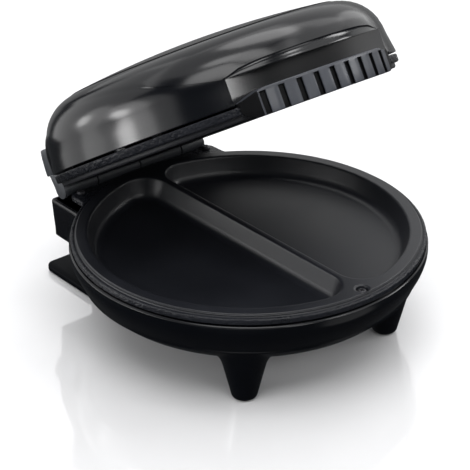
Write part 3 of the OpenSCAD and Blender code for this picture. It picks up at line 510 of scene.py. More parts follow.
def lid_skin(bm, s):
    """Outer skin of the lid, open at its edge, with each face's row kept in a layer."""
    rear = 180 - math.degrees(math.atan2(s.lid_half, s.lid_rear))
    corner = math.degrees(math.asin(s.recess_half / lid_circle(s, s.hood_h)))
    angles = columns(((143, 160), (24, 38)), (corner, rear))

    def browed(a):
        """Share of the hood's brow that a column has."""
        return max(0, min(1, (corner - off_front(a)) / BROW_FADE))

    def place(a, j):
        top = style_line(a)
        fade = max(0, min(1, 1 - (off_front(a) - STYLE_END) / STYLE_FADE))
        if j < len(LOW_ROWS):
            h = LOW_ROWS[j]
            a = follow(s, a, h)
            r = lid_outline(s, a, h) - (0.4 if j == 0 else 0)
            r -= STYLE_STEP * fade * math.exp(-(style_line(a) - h) / STYLE_REACH)
            if abs(off_front(a) - corner) < 0.01:
                x = math.copysign(s.recess_half, math.sin(math.radians(a)))
                return Vector((x, -math.sqrt(r * r - x * x), h))
            return point(r, a, h)
        if j < SHOULDER_ROW:
            k = (j - len(LOW_ROWS) + 1) / SIDE_ROWS
            h = s.hood_h + (top - s.hood_h) * (1 - (1 - k) ** 1.3)
            step = STYLE_STEP * fade * math.exp(-(top - h) / STYLE_REACH) if j < SHOULDER_ROW - 1 else 0
            brow = BROW_HOLLOW * math.sin(math.pi * k) - BROW_LIP * k * k
            out = -step * (1 - browed(a)) - brow * browed(a)
        elif j <= SEAM_ROW:
            k = (j - SHOULDER_ROW + 1) / SHOULDER_ROWS
            h = top + (SEAM_H - top) * (1 - (1 - k) ** 1.8)
            out = BROW_LIP * browed(a) * max(0, 1 - 2.2 * k)
        else:
            f = 1 - (j - SEAM_ROW) / CROWN_ROWS
            return point(s.cover_r * f, follow(s, a, SEAM_H), s.crown_h - CROWN_DROP * f * f)
        a = follow(s, a, h)
        return point(lid_outline(s, a, h) + out, a, h)

    row = bm.faces.layers.int.new("row")
    faces = ringed(bm, angles, SEAM_ROW + CROWN_ROWS, place)
    for (_, j), face in faces.items():
        face[row] = j
    low = [f for (i, j), f in faces.items() if j < len(LOW_ROWS) - 1
           and (angles[i] < corner - 0.01 or angles[i] > 360 - corner - 0.01)]
    bmesh.ops.delete(bm, geom=low, context="FACES")
    merged(bm)
    for side in (-1, 1):
        rear = [f for f in bm.faces if f.calc_center_median().y > 62]
        geom = list({g for f in rear for g in (f, *f.edges, *f.verts)})
        bmesh.ops.bisect_plane(bm, geom=geom, dist=0.05, plane_co=(side * s.cover_half, 0, 0),
                               plane_no=(side, 0, 0))
    return row


def under_cover(s, bm, row):
    """Faces of the skin that the top cover takes."""
    picked = []
    for face in bm.faces:
        middle = face.calc_center_median()
        if face[row] >= SEAM_ROW or (abs(middle.x) < s.cover_half and middle.y > 55 and face[row] >= 1):
            picked.append(face)
    return picked


def painted_shade_band(s, bm):
    """Cuts a band along the rear profile into the lid's flat sides, where shade is painted; returns its
    faces.
    """
    wide = 4.6
    cuts = [(s.lid_rear - wide, 0, 0)]
    for k in range(7):
        t, r = math.radians(9 * k), REAR_ARC_R - wide
        cuts.append((s.lid_rear - REAR_ARC_R + r * math.cos(t), REAR_ARC_H + r * math.sin(t), t))
    for k in range(16):
        t, r = math.radians(61 + 1.9 * k), BACK_ARC_R - wide * max(0, 1 - k / 15) ** 0.8
        cuts.append((BACK_ARC_Y + r * math.cos(t), BACK_ARC_Z + r * math.sin(t), t))

    def flat(face):
        middle = face.calc_center_median()
        return abs(middle.x) > s.lid_half - 1.3 and middle.y > 66 and abs(face.normal.x) > 0.7

    bm.normal_update()
    for y, h, t in cuts:
        geom = list({g for f in bm.faces if flat(f) for g in (f, *f.edges, *f.verts)})
        bmesh.ops.bisect_plane(bm, geom=geom, dist=0.01, plane_co=(0, y, h),
                               plane_no=(0, math.cos(t), math.sin(t)))
        bm.normal_update()
    picked = []
    for face in filter(flat, bm.faces):
        middle = face.calc_center_median()
        if any((middle.y - y) * math.cos(t) + (middle.z - h) * math.sin(t) > 0 for y, h, t in cuts):
            picked.append(face)
    return picked


def well_outline(r, straight, corner, n):
    """Point n of a D-shaped outline with its straight side at a distance from the middle."""
    cx = straight + corner
    cy = math.sqrt((r - corner) ** 2 - cx * cx)
    a = math.degrees(math.atan2(cy, cx))
    if n <= CORNER_STEPS:
        t = math.radians(180 + (a - 180) * n / CORNER_STEPS)
        return Vector((cx + corner * math.cos(t), cy + corner * math.sin(t), 0))
    n -= CORNER_STEPS
    if n < ROUND_STEPS:
        t = math.radians(a - 2 * a * n / ROUND_STEPS)
        return Vector((r * math.cos(t), r * math.sin(t), 0))
    t = math.radians(-a + (a - 180) * (n - ROUND_STEPS) / CORNER_STEPS)
    return Vector((cx + corner * math.cos(t), -cy + corner * math.sin(t), 0))


def wells(bm, s, rows, side, tight=0.0):
    """Walls of one well or pan, from rows of growth and height."""
    def place(i, j):
        grow, z = rows[j]
        straight = max(WELL_STRAIGHT - grow, tight)
        spot = well_outline(s.well_r + grow, straight, max(WELL_CORNER + grow, 3), i % WELL_POINTS)
        return Vector((side * spot.x, spot.y, z))

    sheet(bm, WELL_POINTS, len(rows) - 1, place)


def plate(s, flange, land, depth, pan):
    """Cooking plate with its land at height zero.

    flange is its rim's thickness, land the land's height above it, depth the wells' and pan the pans'.
    """
    bm = bmesh.new()
    angles = columns(((148, 156),))
    foot = -land - flange
    rim, edge = s.plate_r, s.land_r
    # Radius, height and whether the row goes round the rear ears
    ring = [
        (rim - 0.5, foot, 1), (rim, foot + 0.5, 1), (rim, -land - 0.75, 1), (rim - 0.08, -land - 0.6, 1),
        (rim - 0.6, -land - 0.08, 1), (rim - 0.8, -land, 1), (edge + 1.1, -land, 0),
        (edge + 0.85, -land - 0.3, 0), (edge + 0.45, -land - 0.3, 0), (edge + 0.25, -land, 0),
        (edge, -land + 0.3, 0), (edge, -0.95, 0), (edge - 0.3, -0.75, 0), (edge - 0.3, -0.46, 0),
        (edge - 0.35, -0.37, 0), (edge - 0.68, -0.04, 0), (edge - 0.8, 0, 0), (edge - 1.1, 0, 0),
    ]

    def place(a, j):
        r, z, eared = ring[j]
        out = s.plate_r - r
        if eared:
            r = reach(a, r, s.ear_half - out, s.ear_rear - out, SOFT_CORNER)
        return point(r, a, z)

    faces = ringed(bm, angles, len(ring) - 1, place)
    for (_, j), face in faces.items():
        face.material_index = 1 if 1 <= j <= 5 else 0
    lip = [(2.0, 0), (1.5, 0), (0.75, -0.2), (0.2, -0.75), (-0.05, -1.5)]
    draft = -4 / 13
    base = [(draft * (depth - 4) - 0.05, -depth + 4), (draft * (depth - 1.5) - 0.4, -depth + 1.5),
            (draft * depth - 1.5, -depth + 0.4), (draft * depth - 4, -depth), (draft * depth - 5, -depth)]
    if depth < 6:
        base[0] = (-0.5, -2.4)
    for side in (-1, 1):
        wells(bm, s, lip + base, side)
    turned(bm, [(4.9, 0), (4.7, -0.25), (4.3, -0.4), (4.0, -0.4), (3.75, -0.55), (3.6, -0.9),
                (3.6, -land - 0.9), (3.5, -land - 1), (0, -land - 1)], 40,
           Matrix.Translation((*PLATE_SCREWS[0], 0)))
    merged(bm)
    cap(bm, level_edges(bm, 0.0))
    cap(bm, level_edges(bm, -depth))
    if pan > land + flange + 1:
        for side in (-1, 1):
            wells(bm, s, [(3, foot), (2.6, foot - 1), (-0.6, -pan + 0.8), (-1.6, -pan)], side, 0.1)
        merged(bm)
        cap(bm, level_edges(bm, -pan), (0, 0, -1))
    cap(bm, level_edges(bm, foot), (0, 0, -1))
    return bm


# Operators

class OMELETTE_OT_lid(bpy.types.Operator):
    """Domed lid with its brow, finger recess and the seat of the top cover"""
    bl_idname = "omelette.lid"
    bl_label = "Lid"

    def execute(self, context):
        s = sizes()
        bm = bmesh.new()
        row = lid_skin(bm, s)
        front = [e for e in open_edges(bm) if all(v.co.y < 0 for v in e.verts)]
        brow = [e for e in front if all(abs(v.co.z - s.hood_h) < 0.01 for v in e.verts)]
        cheeks = [e for e in front if all(abs(abs(v.co.x) - s.recess_half) < 0.01 for v in e.verts)]

        flat, sweep = 14, 3.2

        def swept(x):
            """Recess wall, which sweeps forward at both ends."""
            k = max(0, (abs(x) - flat) / (s.recess_half - flat))
            return -s.recess_y - sweep * k * k

        wall = drawn(bm, brow, lambda c: (c.x, swept(c.x), c.z))
        for h in LOW_ROWS[-2::-1]:
            wall = drawn(bm, wall, lambda c: (c.x, swept(c.x), h))
        drawn(bm, cheeks, lambda c: (c.x, swept(c.x), c.z))
        merged(bm, 0.01)

        def at_corner(spot):
            return (abs(abs(spot.x) - s.recess_half) < 0.01 and spot.y < -s.recess_y - sweep - 0.05
                    and spot.z < s.hood_h + 0.01)

        rounded(bm, [e for e in bm.edges if all(at_corner(v.co) for v in e.verts)], 0.9)
        groove = inset_rim(bm, under_cover(s, bm, row), 0.45, -1.6)
        # The seat groove and the rear corner bands take the band finish: painted shade
        for face in groove + painted_shade_band(s, bm):
            face.material_index = 1
        raised(bm, s.lid_z)
        look = finishes()
        piece("lid_dome", bm, "lid", [look.shell, look.band], "gloss_black", ["lid_shell"], solid=2.0,
              bevel=0.35, up=(0, 0, s.lid_z + s.crown_h))
        return {"FINISHED"}


class OMELETTE_OT_cover(bpy.types.Operator):
    """Top cover over the crown, which runs down the rear wall"""
    bl_idname = "omelette.cover"
    bl_label = "Top cover"

    def execute(self, context):
        s = sizes()
        bm = bmesh.new()
        row = lid_skin(bm, s)
        kept = set(under_cover(s, bm, row))
        bmesh.ops.delete(bm, geom=[f for f in bm.faces if f not in kept], context="FACES")
        gap, chamfer, sunk, proud = 0.6, 0.3, 0.12, 0.45
        bmesh.ops.delete(bm, geom=inset_rim(bm, bm.faces[:], gap), context="FACES")
        # The chamfer round the cover's edge takes the groove finish: painted shade for the seam's dark line
        for face in inset_rim(bm, bm.faces[:], chamfer):
            face.material_index = 1
        bm.normal_update()
        for vert, fall in [(v, v.normal * sunk) for v in bm.verts if v.is_boundary]:
            vert.co -= fall
        for vert in bm.verts:
            vert.co.z += proud * max(0, min(1, (60 - vert.co.y) / 25))
        raised(bm, s.lid_z)
        look = finishes()
        piece("crown_cover", bm, "lid", [look.cover, look.groove], "gloss_black", ["top_cover"], solid=1.5,
              bevel=0.3, up=(0, 0, s.lid_z + s.crown_h))
        return {"FINISHED"}


class OMELETTE_OT_grip(bpy.types.Operator):
    """Grip block in the recess, with its ribbed face"""
    bl_idname = "omelette.grip"
    bl_label = "Grip"

    def execute(self, context):
        s = sizes()
        bm = bmesh.new()
        ribbed, tip, bottom = 23.2, 30.6, -10.3
        # Angle and groove depth of each station
        stations = [(-tip, 0), (-29.6, 0), (-27, 0), (-24.4, 0)]
        for k in range(9):
            a = ribbed * (k / 4 - 1)
            stations += [(a - 1.5, 0), (a - 0.95, 0.3), (a - 0.75, 1.7), (a + 0.7, 1.7), (a + 0.85, 0.3),
                         (a + 1.1, 0)]
            if k < 8:
                stations += [(a + 2.9, 0)]
        stations += [(24.4, 0), (27, 0), (29.6, 0), (tip, 0)]
        lip = s.plate_r + 0.4

        def place(i, j):
            a, groove = stations[i]
            end = max(0, (abs(a) - ribbed) / (tip - ribbed))
            face_r = s.grip_r - 1.8 * end ** 1.5
            cut_r = face_r - groove
            top = 4.8 - 4.0 * end
            loop = [
                (lip, bottom), (face_r - 0.5, bottom), (cut_r - 0.1, -9.9), (cut_r, -9.3), (cut_r, -4),
                (cut_r, 1.2), (cut_r, 2.6), (face_r, 3.1), (face_r - 0.15, top - 0.6),
                (face_r - 0.8, top - 0.1), (face_r - 2, top), (None, top), (None, -1.0), (lip, -1.0),
                (lip, bottom),
            ]
            r, h = loop[j]
            if r is None:
                spot = point(s.recess_y / math.cos(math.radians(a)), a, h)
                spot.y = -s.recess_y - 0.2
                spot.x = max(-56.9, min(56.9, spot.x * 1.09))
                return spot
            h = min(h, top - 0.4) if 6 <= j <= 8 else h
            lift = 5.2 * max(0, (abs(a) - 25.5) / (tip - 25.5)) ** 2.6
            return point(max(r, lip), a, max(h, bottom + lift))

        # Grooves take the groove finish as painted shade; the ends get it as their own black, and the hidden
        # caps too
        for (i, j), face in sheet(bm, len(stations) - 1, 14, place).items():
            cut = stations[i][1] + stations[i + 1][1] > 1.5 and 1 <= j <= 6
            face.material_index = 1 if cut or (abs(stations[i][0]) > 26 and j <= 8) else 0
        merged(bm)
        for face in bmesh.ops.holes_fill(bm, edges=open_edges(bm), sides=0)["faces"]:
            face.material_index = 1
        raised(bm, s.lid_z)
        look = finishes()
        piece("ribbed_grip", bm, "lid", [look.grip, look.groove], "matte_black", ["grip"], bevel=0.2,
              crisp=22)
        return {"FINISHED"}


class OMELETTE_OT_plates(bpy.types.Operator):
    """Both cooking plates with their wells, lands and cast flanges"""
    bl_idname = "omelette.plates"
    bl_label = "Cooking plates"

    def execute(self, context):
        s = sizes()
        look = finishes()
        bm = plate(s, flange=3.8, land=LOWER_LAND, depth=13, pan=16)
        raised(bm, s.land_z)
        piece("lower_cooking_plate", bm, "base", [look.plate, look.cast], "nonstick", ["lower_plate"])
        bm = plate(s, flange=4.8, land=UPPER_LAND, depth=5, pan=7.7)
        bmesh.ops.scale(bm, vec=(1, 1, -1), verts=bm.verts)
        raised(bm, s.land_z + s.shut_gap)
        piece("upper_cooking_plate", bm, "lid", [look.plate, look.cast], "nonstick", ["upper_plate"])
        return {"FINISHED"}


class OMELETTE_OT_bowl(bpy.types.Operator):
    """Bowl with its crease, rolled rim, hinge housing and two flared feet"""
    bl_idname = "omelette.bowl"
    bl_label = "Bowl"

    def execute(self, context):
        s = sizes()
        bm = bmesh.new()
        split = math.degrees(math.acos(math.sqrt(s.bowl_r ** 2 - s.box_half ** 2) / s.bowl_r))
        corner = 180 - math.degrees(math.atan2(s.box_half, s.box_rear))
        low = 180 - split
        angles = columns(((142, 158),), (low - 0.15, low + 0.15, corner))

        def side(z):
            if z >= SIDE_Z:
                return s.bowl_r
            if z >= CREASE_Z:
                return s.bowl_r - CREASE_IN * ((SIDE_Z - z) / (SIDE_Z - CREASE_Z)) ** 1.45
            root = math.sqrt(EVEN_RISE ** 2 + 4 * CURVED_RISE * (z - s.bottom_z) / CREASE_H)
            t = (root - EVEN_RISE) / (2 * CURVED_RISE)
            return s.bowl_r - UNDERSIDE_IN + (CREASE_R - UNDERSIDE_R) * t

        wall = 2.4
        # Radius, height and, where the row goes round the hinge housing, its inset there
        rows = [(0, 30, 0), (60, 30, 0), (86, 30, 0), (89, 30.05, 0)]
        rows += [(side(z), z, 0) for z in (30.4, 31.2, 32.2, 33.4, 34.5)]
        rows += [(side(34.5), 34.5, 2.0), (side(34.8), 34.8, 0.6), (side(35.6), 35.6, 0.01)]
        rows += [(side(z), z, 0.01) for z in (37, 38.6)]
        bead = ((39.0, 0), (39.4, 0.3), (39.8, 0.75), (40.2, 0.92), (40.6, 0.76), (41.0, 0.47), (41.5, 0.10),
                (42.0, 0))
        rows += [(side(z) + out, z, 0.01) for z, out in bead]
        rows += [(side(z), z, 0.01) for z in (44, 46, 48, 50, 52, 54, 56, 57.5, 58.6)]
        rolled = ((0.03, 59.2, 0.1), (0.02, 60.2, 0.1), (0.02, 60.7, 0.15), (0.08, 60.85, 0.3),
                  (0.72, 61.5, 0.7), (0.95, 61.6, 1.2), (1.5, 61.5, 1.9), (2.1, 61.1, 2.3), (2.4, 60.8, 2.4),
                  (2.6, 60.4, 2.4))
        rows += [(s.bowl_r - back, z, inset) for back, z, inset in rolled]
        inner = len(rows)
        rows += [(r, z, wall) for r, z in ((106.6, 60.4), (106.6, 62.2), (103.8, 62.2), (103.6, 61.8),
                                           (103.6, 56.8), (107.4, 56.6))]
        rows += [(side(z) - wall, z, wall) for z in (52, 46, 40)]
        rows += [(side(38) - 3, 38, wall), (side(38) - 3, 37.9, 0), (90, 32.6, 0), (60, 32.4, 0),
                 (0, 32.4, 0)]
        # Height from which the rim is rolled, and how far the housing's rear wall leans over its height
        rolled_z, lean, lean_h = 59.1, 2.4, 25.5

        def place(a, j):
            r, z, inset = rows[j]
            behind = low < off_front(a) <= 180
            if inset:
                draft = lean * max(0, (s.box_top - z) / lean_h)
                half, rear = s.box_half - inset, s.box_rear - inset - draft
                if z > rolled_z or j >= inner:
                    if behind:
                        drop = 0.8 if inset < 0.2 else 0.3 if inset in (0.3, 2.3) else 0
                        z = min(z, s.box_top - drop)
                        r = reach(a, 1, half, rear, SHARP_CORNER)
                else:
                    r = reach(a, r, half, rear, SHARP_CORNER)
            return point(r, a, z)

        ringed(bm, angles, len(rows) - 1, place)
        merged(bm)
        for sign in (-1, 1):
            self.foot(bm, s, sign * s.foot_x, -s.foot_y)
        piece("bowl_body", bm, "base", finishes().bowl, "gloss_black", ["base_housing"], crisp=28)
        return {"FINISHED"}

    def foot(self, bm, s, x, y):
        """Cone foot that flares smoothly into the bowl's underside."""
        def under(spot):
            r = math.hypot(spot[0], spot[1])
            if r <= UNDERSIDE_R:
                return s.bottom_z
            if r >= CREASE_R:
                return CREASE_Z + (r - CREASE_R) * 1.6
            t = (r - UNDERSIDE_R) / (CREASE_R - UNDERSIDE_R)
            return s.bottom_z + CREASE_H * (EVEN_RISE * t + CURVED_RISE * t * t)

        tip_r, top_r, straight_h = 8, 14.5, 3

        def cone(z):
            return tip_r + (top_r - tip_r) * max(z - straight_h, 0) / 27

        tip = [(0, 1.0), (6.3, 1.0), (7.3, 1.4), (7.8, 2.2)] + [(cone(z), z) for z in (4, 9, 15, 20)]
        columns_round, flare = 48, 7
        middle = Vector((x, y, 0))

        def place(i, j):
            a = math.tau * i / columns_round
            way = Vector((math.sin(a), -math.cos(a), 0))
            if j < len(tip):
                r, z = tip[j]
                return Vector((x, y, z)) + way * r
            # Where the cone meets the underside in this direction, closer with each step
            d = top_r
            for _ in range(12):
                d = cone(under(middle + way * d))
            top = under(middle + way * d)
            low = max(top - 7, 21)
            t = (j - len(tip)) / flare
            p0 = Vector((x, y, low)) + way * cone(low)
            p1 = Vector((x, y, top)) + way * d
            p2 = middle + way * (d + 4 - 2 * min(1, (top - s.bottom_z) / 4))
            p2.z = under(p2)
            curve = p0 * (1 - t) ** 2 + p1 * 2 * t * (1 - t) + p2 * t * t
            return curve - way * 0.3 * t * t + Vector((0, 0, 0.3 * t * t))

        sheet(bm, columns_round, len(tip) + flare, place)
        merged(bm)
        holes = [e for e in open_edges(bm) if (e.verts[0].co - Vector((x, y, 30))).length < 40]
        bmesh.ops.holes_fill(bm, edges=holes, sides=0)


class OMELETTE_OT_stand(bpy.types.Operator):
    """Rear stand with its two posts, and the rubber pads"""
    bl_idname = "omelette.stand"
    bl_label = "Rear stand and pads"

    def execute(self, context):
        s = sizes()
        bm = bmesh.new()
        half, low, high = 61, 87.2, 137.2
        post_y = 104
        corner_points = 7
        points = 4 * corner_points

        def outline(i, back):
            """Point of the floor plate's outline, which has soft corners."""
            quarter, k = divmod(i % points, corner_points)
            behind = quarter in (0, 3)
            corner = 6 if behind else 2
            cx, cy = half - corner, (high - corner) if behind else (low + corner)
            cx = cx if quarter in (0, 1) else -cx
            t = math.radians(90 - 90 * quarter - 90 / (corner_points - 1) * k)
            return Vector((cx + (corner - back) * math.cos(t), cy + (corner - back) * math.sin(t), 0))

        rows = [(0.7, 1.0), (0.2, 1.2), (0, 1.7), (0, 4.2), (0.25, 4.75), (0.8, 5.0)]
        sheet(bm, points, len(rows) - 1, lambda i, j: outline(i, rows[j][0]) + Vector((0, 0, rows[j][1])))
        merged(bm)
        for x in (-POST_X, POST_X):
            turned(bm, [(3.5, 1.0), (3.2, 1.3), (3.2, 26.5), (0, 26.5)], 32,
                   Matrix.Translation((x, post_y, 0)))
        cap(bm, level_edges(bm, 1.0), (0, 0, -1))
        cap(bm, level_edges(bm, 5.0))
        for x in (-POST_X, POST_X):
            block(bm, (x - 8, post_y - 6, 4.6), (x + 8, post_y + 6, 34.3), 0.8)
        piece("rear_foot_stand", bm, "base", finishes().stand, "matte_black", ["rear_stand"])
        bm = bmesh.new()
        for x, y in ((s.foot_x, -s.foot_y), (-s.foot_x, -s.foot_y), (50, 126.2), (-50, 126.2)):
            turned(bm, [(0, 2), (6, 2), (6, 0.5), (5.7, 0.15), (5.2, 0), (3.4, 0), (3.1, 0.4), (0, 0.4)], 40,
                   Matrix.Translation((x, y, 0)))
        piece("rubber_feet", bm, "base", finishes().rubber, "rubber_black", ["foot_pads"])
        return {"FINISHED"}


def barrel(bm, s, x0, x1):
    """Hinge barrel with rounded ends along the hinge axis."""
    r = s.barrel_r
    turned(bm, [(0, x0), (r - 0.9, x0), (r - 0.3, x0 + 0.15), (r, x0 + 0.55), (r, x1 - 0.55),
                (r - 0.3, x1 - 0.15), (r - 0.9, x1), (0, x1)], 48,
           Matrix.Translation((0, s.hinge_y, s.hinge_z)) @ Matrix.Rotation(math.pi / 2, 4, "Y"))


class OMELETTE_OT_hinge(bpy.types.Operator):
    """Fixed and moving knuckles, lid ears, hinge cover and cord gland"""
    bl_idname = "omelette.hinge"
    bl_label = "Hinge"

    def execute(self, context):
        s = sizes()
        look = finishes()
        bm = bmesh.new()
        for side in (-1, 1):
            barrel(bm, s, *sorted((side * 0.2, side * 33.9)))
            x0, x1 = sorted((side * 0.2, side * 32.9))
            block(bm, (x0, s.hinge_y - 2.6, 50), (x1, s.hinge_y + 2.6, s.hinge_z), 0.5)
            x0, x1 = sorted((side * 12, side * 32))
            block(bm, (x0, s.hinge_y - 4, 49.9), (x1, s.hinge_y + 4, 52.4), 0.4)
        piece("fixed_knuckles", bm, "base", look.hinge, "hinge_grey", ["base_hinge"])
        for side, name, node in ((-1, "left_lid_ear", "lid_ear_left"), (1, "right_lid_ear", "lid_ear_right")):
            bm = bmesh.new()
            barrel(bm, s, *sorted((side * 34.3, -58.2 if side < 0 else 53.6)))
            x0, x1 = sorted((side * 34.9, -58.0 if side < 0 else 53.0))
            block(bm, (x0, s.hinge_y - 2.6, s.hinge_z), (x1, s.hinge_y + 2.6, EAR_TOP), 0.4)
            if side < 0:
                self.round_ear(bm, s)
            x0, x1 = sorted((side * 36, side * 55.7))
            block(bm, (x0, s.hinge_y - 3.2, EAR_TOP - 0.3), (x1, 114.7, 85.5), 0.5)
            piece(name, bm, "lid", look.hinge, "hinge_grey", [node])
        bm = bmesh.new()
        foot = s.lid_z + 1.3
        # Distance and height round the bar's section, and each station's place and how far it draws in
        path = [(118.9, 0.4), (119.3, 0), (129.6, 0), (130.2, 0.4), (130.2, 1.2), (129.9, 4.5), (128.7, 12.5),
                (127.5, 16.6), (126.9, 17.3), (126, 17.5), (117.2, 17.5), (116.9, 17.2), (118.15, 14),
                (118.75, 11), (118.9, 6)]
        middle_y, middle_h = 123.5, 9
        half = [-57.2, -56.9, -56.2, 0, 56.2, 56.9, 57.2]
        pinch = [0.9, 0.25, 0, 0, 0, 0.25, 0.9]

        def place(i, j):
            y, h = path[j % len(path)]
            k = pinch[i] / 8
            return Vector((half[i], y + (middle_y - y) * k, foot + h + (middle_h - h) * k))

        sheet(bm, len(half) - 1, len(path), place)
        merged(bm)
        bmesh.ops.holes_fill(bm, edges=open_edges(bm), sides=0)
        piece("hinge_cover_bar", bm, "lid", look.hinge, "hinge_grey", ["hinge_cover"])
        bm = bmesh.new()
        turned(bm, [(3.4, -2.4), (3.4, 0.9), (3.8, 1.35), (5.2, 1.4), (5.8, 1.1), (6, 0.5), (6, 0.1),
                    (4.6, 0.1), (4.6, -3.4), (4.2, -3.9), (3.6, -3.9), (3.4, -3.6), (3.4, -2.4)], 48,
               Matrix.Translation((0, s.box_rear, 41.6)) @ Matrix.Rotation(-math.pi / 2, 4, "X"))
        piece("cord_gland_ring", bm, "base", look.rubber, "rubber_black", ["cord_gland"])
        return {"FINISHED"}

    def round_ear(self, bm, s):
        """Plate with a round foot about the hinge axis, which runs up past the lid's rear corner."""
        ear_r = 5.6
        turn = [math.radians(180 + 9 * k) for k in range(21)]
        edge = [(ear_r * math.cos(a), ear_r * math.sin(a)) for a in turn]
        edge += [(5.5, 3), (5, 8.4), (6.4, 9.9), (7, 11.6), (6.5, 12.1), (5.9, 12.1), (5.4, 11.6), (5.4, 9.7),
                 (-5, 9.7), (-5.6, 9.1)]
        ring = [bm.verts.new((-58.1, s.hinge_y + y, s.hinge_z + z)) for y, z in edge]
        face = bmesh.ops.contextual_create(bm, geom=ring)["faces"][0]
        outer = bmesh.ops.extrude_face_region(bm, geom=[face], use_keep_orig=True)["geom"]
        verts = [g for g in outer if isinstance(g, bmesh.types.BMVert)]
        bmesh.ops.translate(bm, verts=verts, vec=(-2.5, 0, 0))
        rounded(bm, [g for g in outer if isinstance(g, bmesh.types.BMEdge)], 0.5)


class OMELETTE_OT_screws(bpy.types.Operator):
    """Cross-head screws of the plates, the hinge and the lid's ears"""
    bl_idname = "omelette.screws"
    bl_label = "Screws"

    def head(self, bm, matrix):
        """Pan head with a cross recess over a short shank."""
        r, h = 3.0, 1.8
        before = set(bm.edges)
        turned(bm, [(0, -6), (1.2, -6), (1.5, -5.6), (1.5, 0), (r - 0.1, 0), (r, 0.25), (r - 0.15, h * 0.55),
                    (r - 0.6, h * 0.85), (r - 1.15, h)], 32)
        arm, wide = 1.45, 0.36
        quarter = [(arm, wide), (wide, wide), (wide, arm)]
        plus = quarter + [(-x, y) for x, y in quarter[::-1]]
        plus += [(-x, -y) for x, y in plus]
        verts = [bm.verts.new((x, y, h)) for x, y in plus]
        ring = [bm.edges.new((a, b)) for a, b in zip(verts, verts[1:] + verts[:1])]
        rim = [e for e in bm.edges if e not in before and e.is_boundary and e not in ring]
        cap(bm, ring + rim)
        down = bmesh.ops.extrude_edge_only(bm, edges=ring)["geom"]
        low = [g for g in down if isinstance(g, bmesh.types.BMVert)]
        bmesh.ops.translate(bm, verts=low, vec=(0, 0, -1.0))
        bmesh.ops.contextual_create(bm, geom=[g for g in down if isinstance(g, bmesh.types.BMEdge)])
        made = {v for e in bm.edges if e not in before for v in e.verts}
        bmesh.ops.transform(bm, matrix=matrix, verts=list(made))

    def fixings(self, name, body, look, node, places):
        """A piece of like screws, from each one's spot, tilt and turn."""
        bm = bmesh.new()
        for spot, tilt, turn in places:
            tilted = Matrix.Translation(spot) @ Matrix.Rotation(tilt, 4, "X")
            self.head(bm, tilted @ Matrix.Rotation(turn, 4, "Z"))
        piece(name, bm, body, look, "zinc_steel", [node], crisp=24)

    def execute(self, context):
        s = sizes()
        look = finishes()
        lower_z = s.land_z - LOWER_LAND
        upper_z = s.land_z + s.shut_gap + UPPER_LAND
        # The front screw of a plate is sunk, and every head lies a little into its seat
        sunk, into = 1, 0.1
        self.fixings("lower_plate_fixings", "base", look.oxide, "lower_plate_screws", [
            ((x, y, lower_z - (sunk if x == 0 else 0) + into), 0, 0.4 + x * 0.02) for x, y in PLATE_SCREWS])
        self.fixings("upper_plate_fixings", "lid", look.oxide, "upper_plate_screws", [
            ((x, y, upper_z + (sunk if x == 0 else 0) - into), math.pi, 0.7 + x * 0.03)
            for x, y in PLATE_SCREWS])
        self.fixings("lid_ear_fixings", "lid", look.steel, "ear_screws", [
            ((x, s.lid_rear - 1.7, s.lid_z + 4.5), -math.pi / 2, x * 0.1) for x in (-52, -42, 42, 52)])
        self.fixings("hinge_fixings", "base", look.steel, "hinge_screws", [
            ((x, s.hinge_y, s.box_bottom + 1.5), math.pi, x * 0.1) for x in (-23, 23)])
        return {"FINISHED"}


class OMELETTE_OT_lamps(bpy.types.Operator):
    """Two domed lamp lenses in the crown"""
    bl_idname = "omelette.lamps"
    bl_label = "Lamp lenses"

    def execute(self, context):
        s = sizes()
        look = finishes()
        lens_x, lens_y = 9, 50
        top = s.lid_z + s.crown_h - CROWN_DROP * (lens_y / s.cover_r) ** 2 + 0.4
        lenses = ((-lens_x, "red_lamp_lens", "power_lens", look.red, "lens_red"),
                  (lens_x, "green_lamp_lens", "ready_lens", look.green, "lens_green"))
        for x, name, node, material, slot in lenses:
            bm = bmesh.new()
            turned(bm, [(0, top), (1.4, top - 0.05), (2.6, top - 0.25), (3.2, top - 0.55), (3.5, top - 1.0),
                        (3.5, top - 5.5), (4.7, top - 5.5), (4.7, top - 7), (0, top - 7)], 48,
                   Matrix.Translation((x, lens_y, 0)))
            piece(name, bm, "lid", material, slot, [node])
        return {"FINISHED"}


class OMELETTE_OT_inner_parts(bpy.types.Operator):
    """Finishes of the inner parts that keep their solids' shape"""
    bl_idname = "omelette.inner_parts"
    bl_label = "Inner parts"

    def execute(self, context):
        look = finishes()
        worn = {
            "lower_element": look.element, "upper_element": look.element, "lower_element_clamps": look.steel,
            "upper_element_clamps": look.steel, "lower_reflector": look.aluminium,
            "upper_reflector": look.aluminium, "thermostat": look.ceramic, "thermal_fuse": look.steel,
            "terminal_block": look.ceramic, "base_leads": look.sleeve, "lid_leads": look.sleeve,
            "hinge_pins": look.steel, "stand_screws": look.steel, "reflector_screws": look.steel,
            "grip_screws": look.steel, "upper_reflector_screws": look.steel, "power_lamp": look.glass,
            "ready_lamp": look.glass, "lamp_board": look.board,
        }
        for node, material in worn.items():
            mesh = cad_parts[node].data
            mesh.materials.clear()
            mesh.materials.append(material)
        return {"FINISHED"}


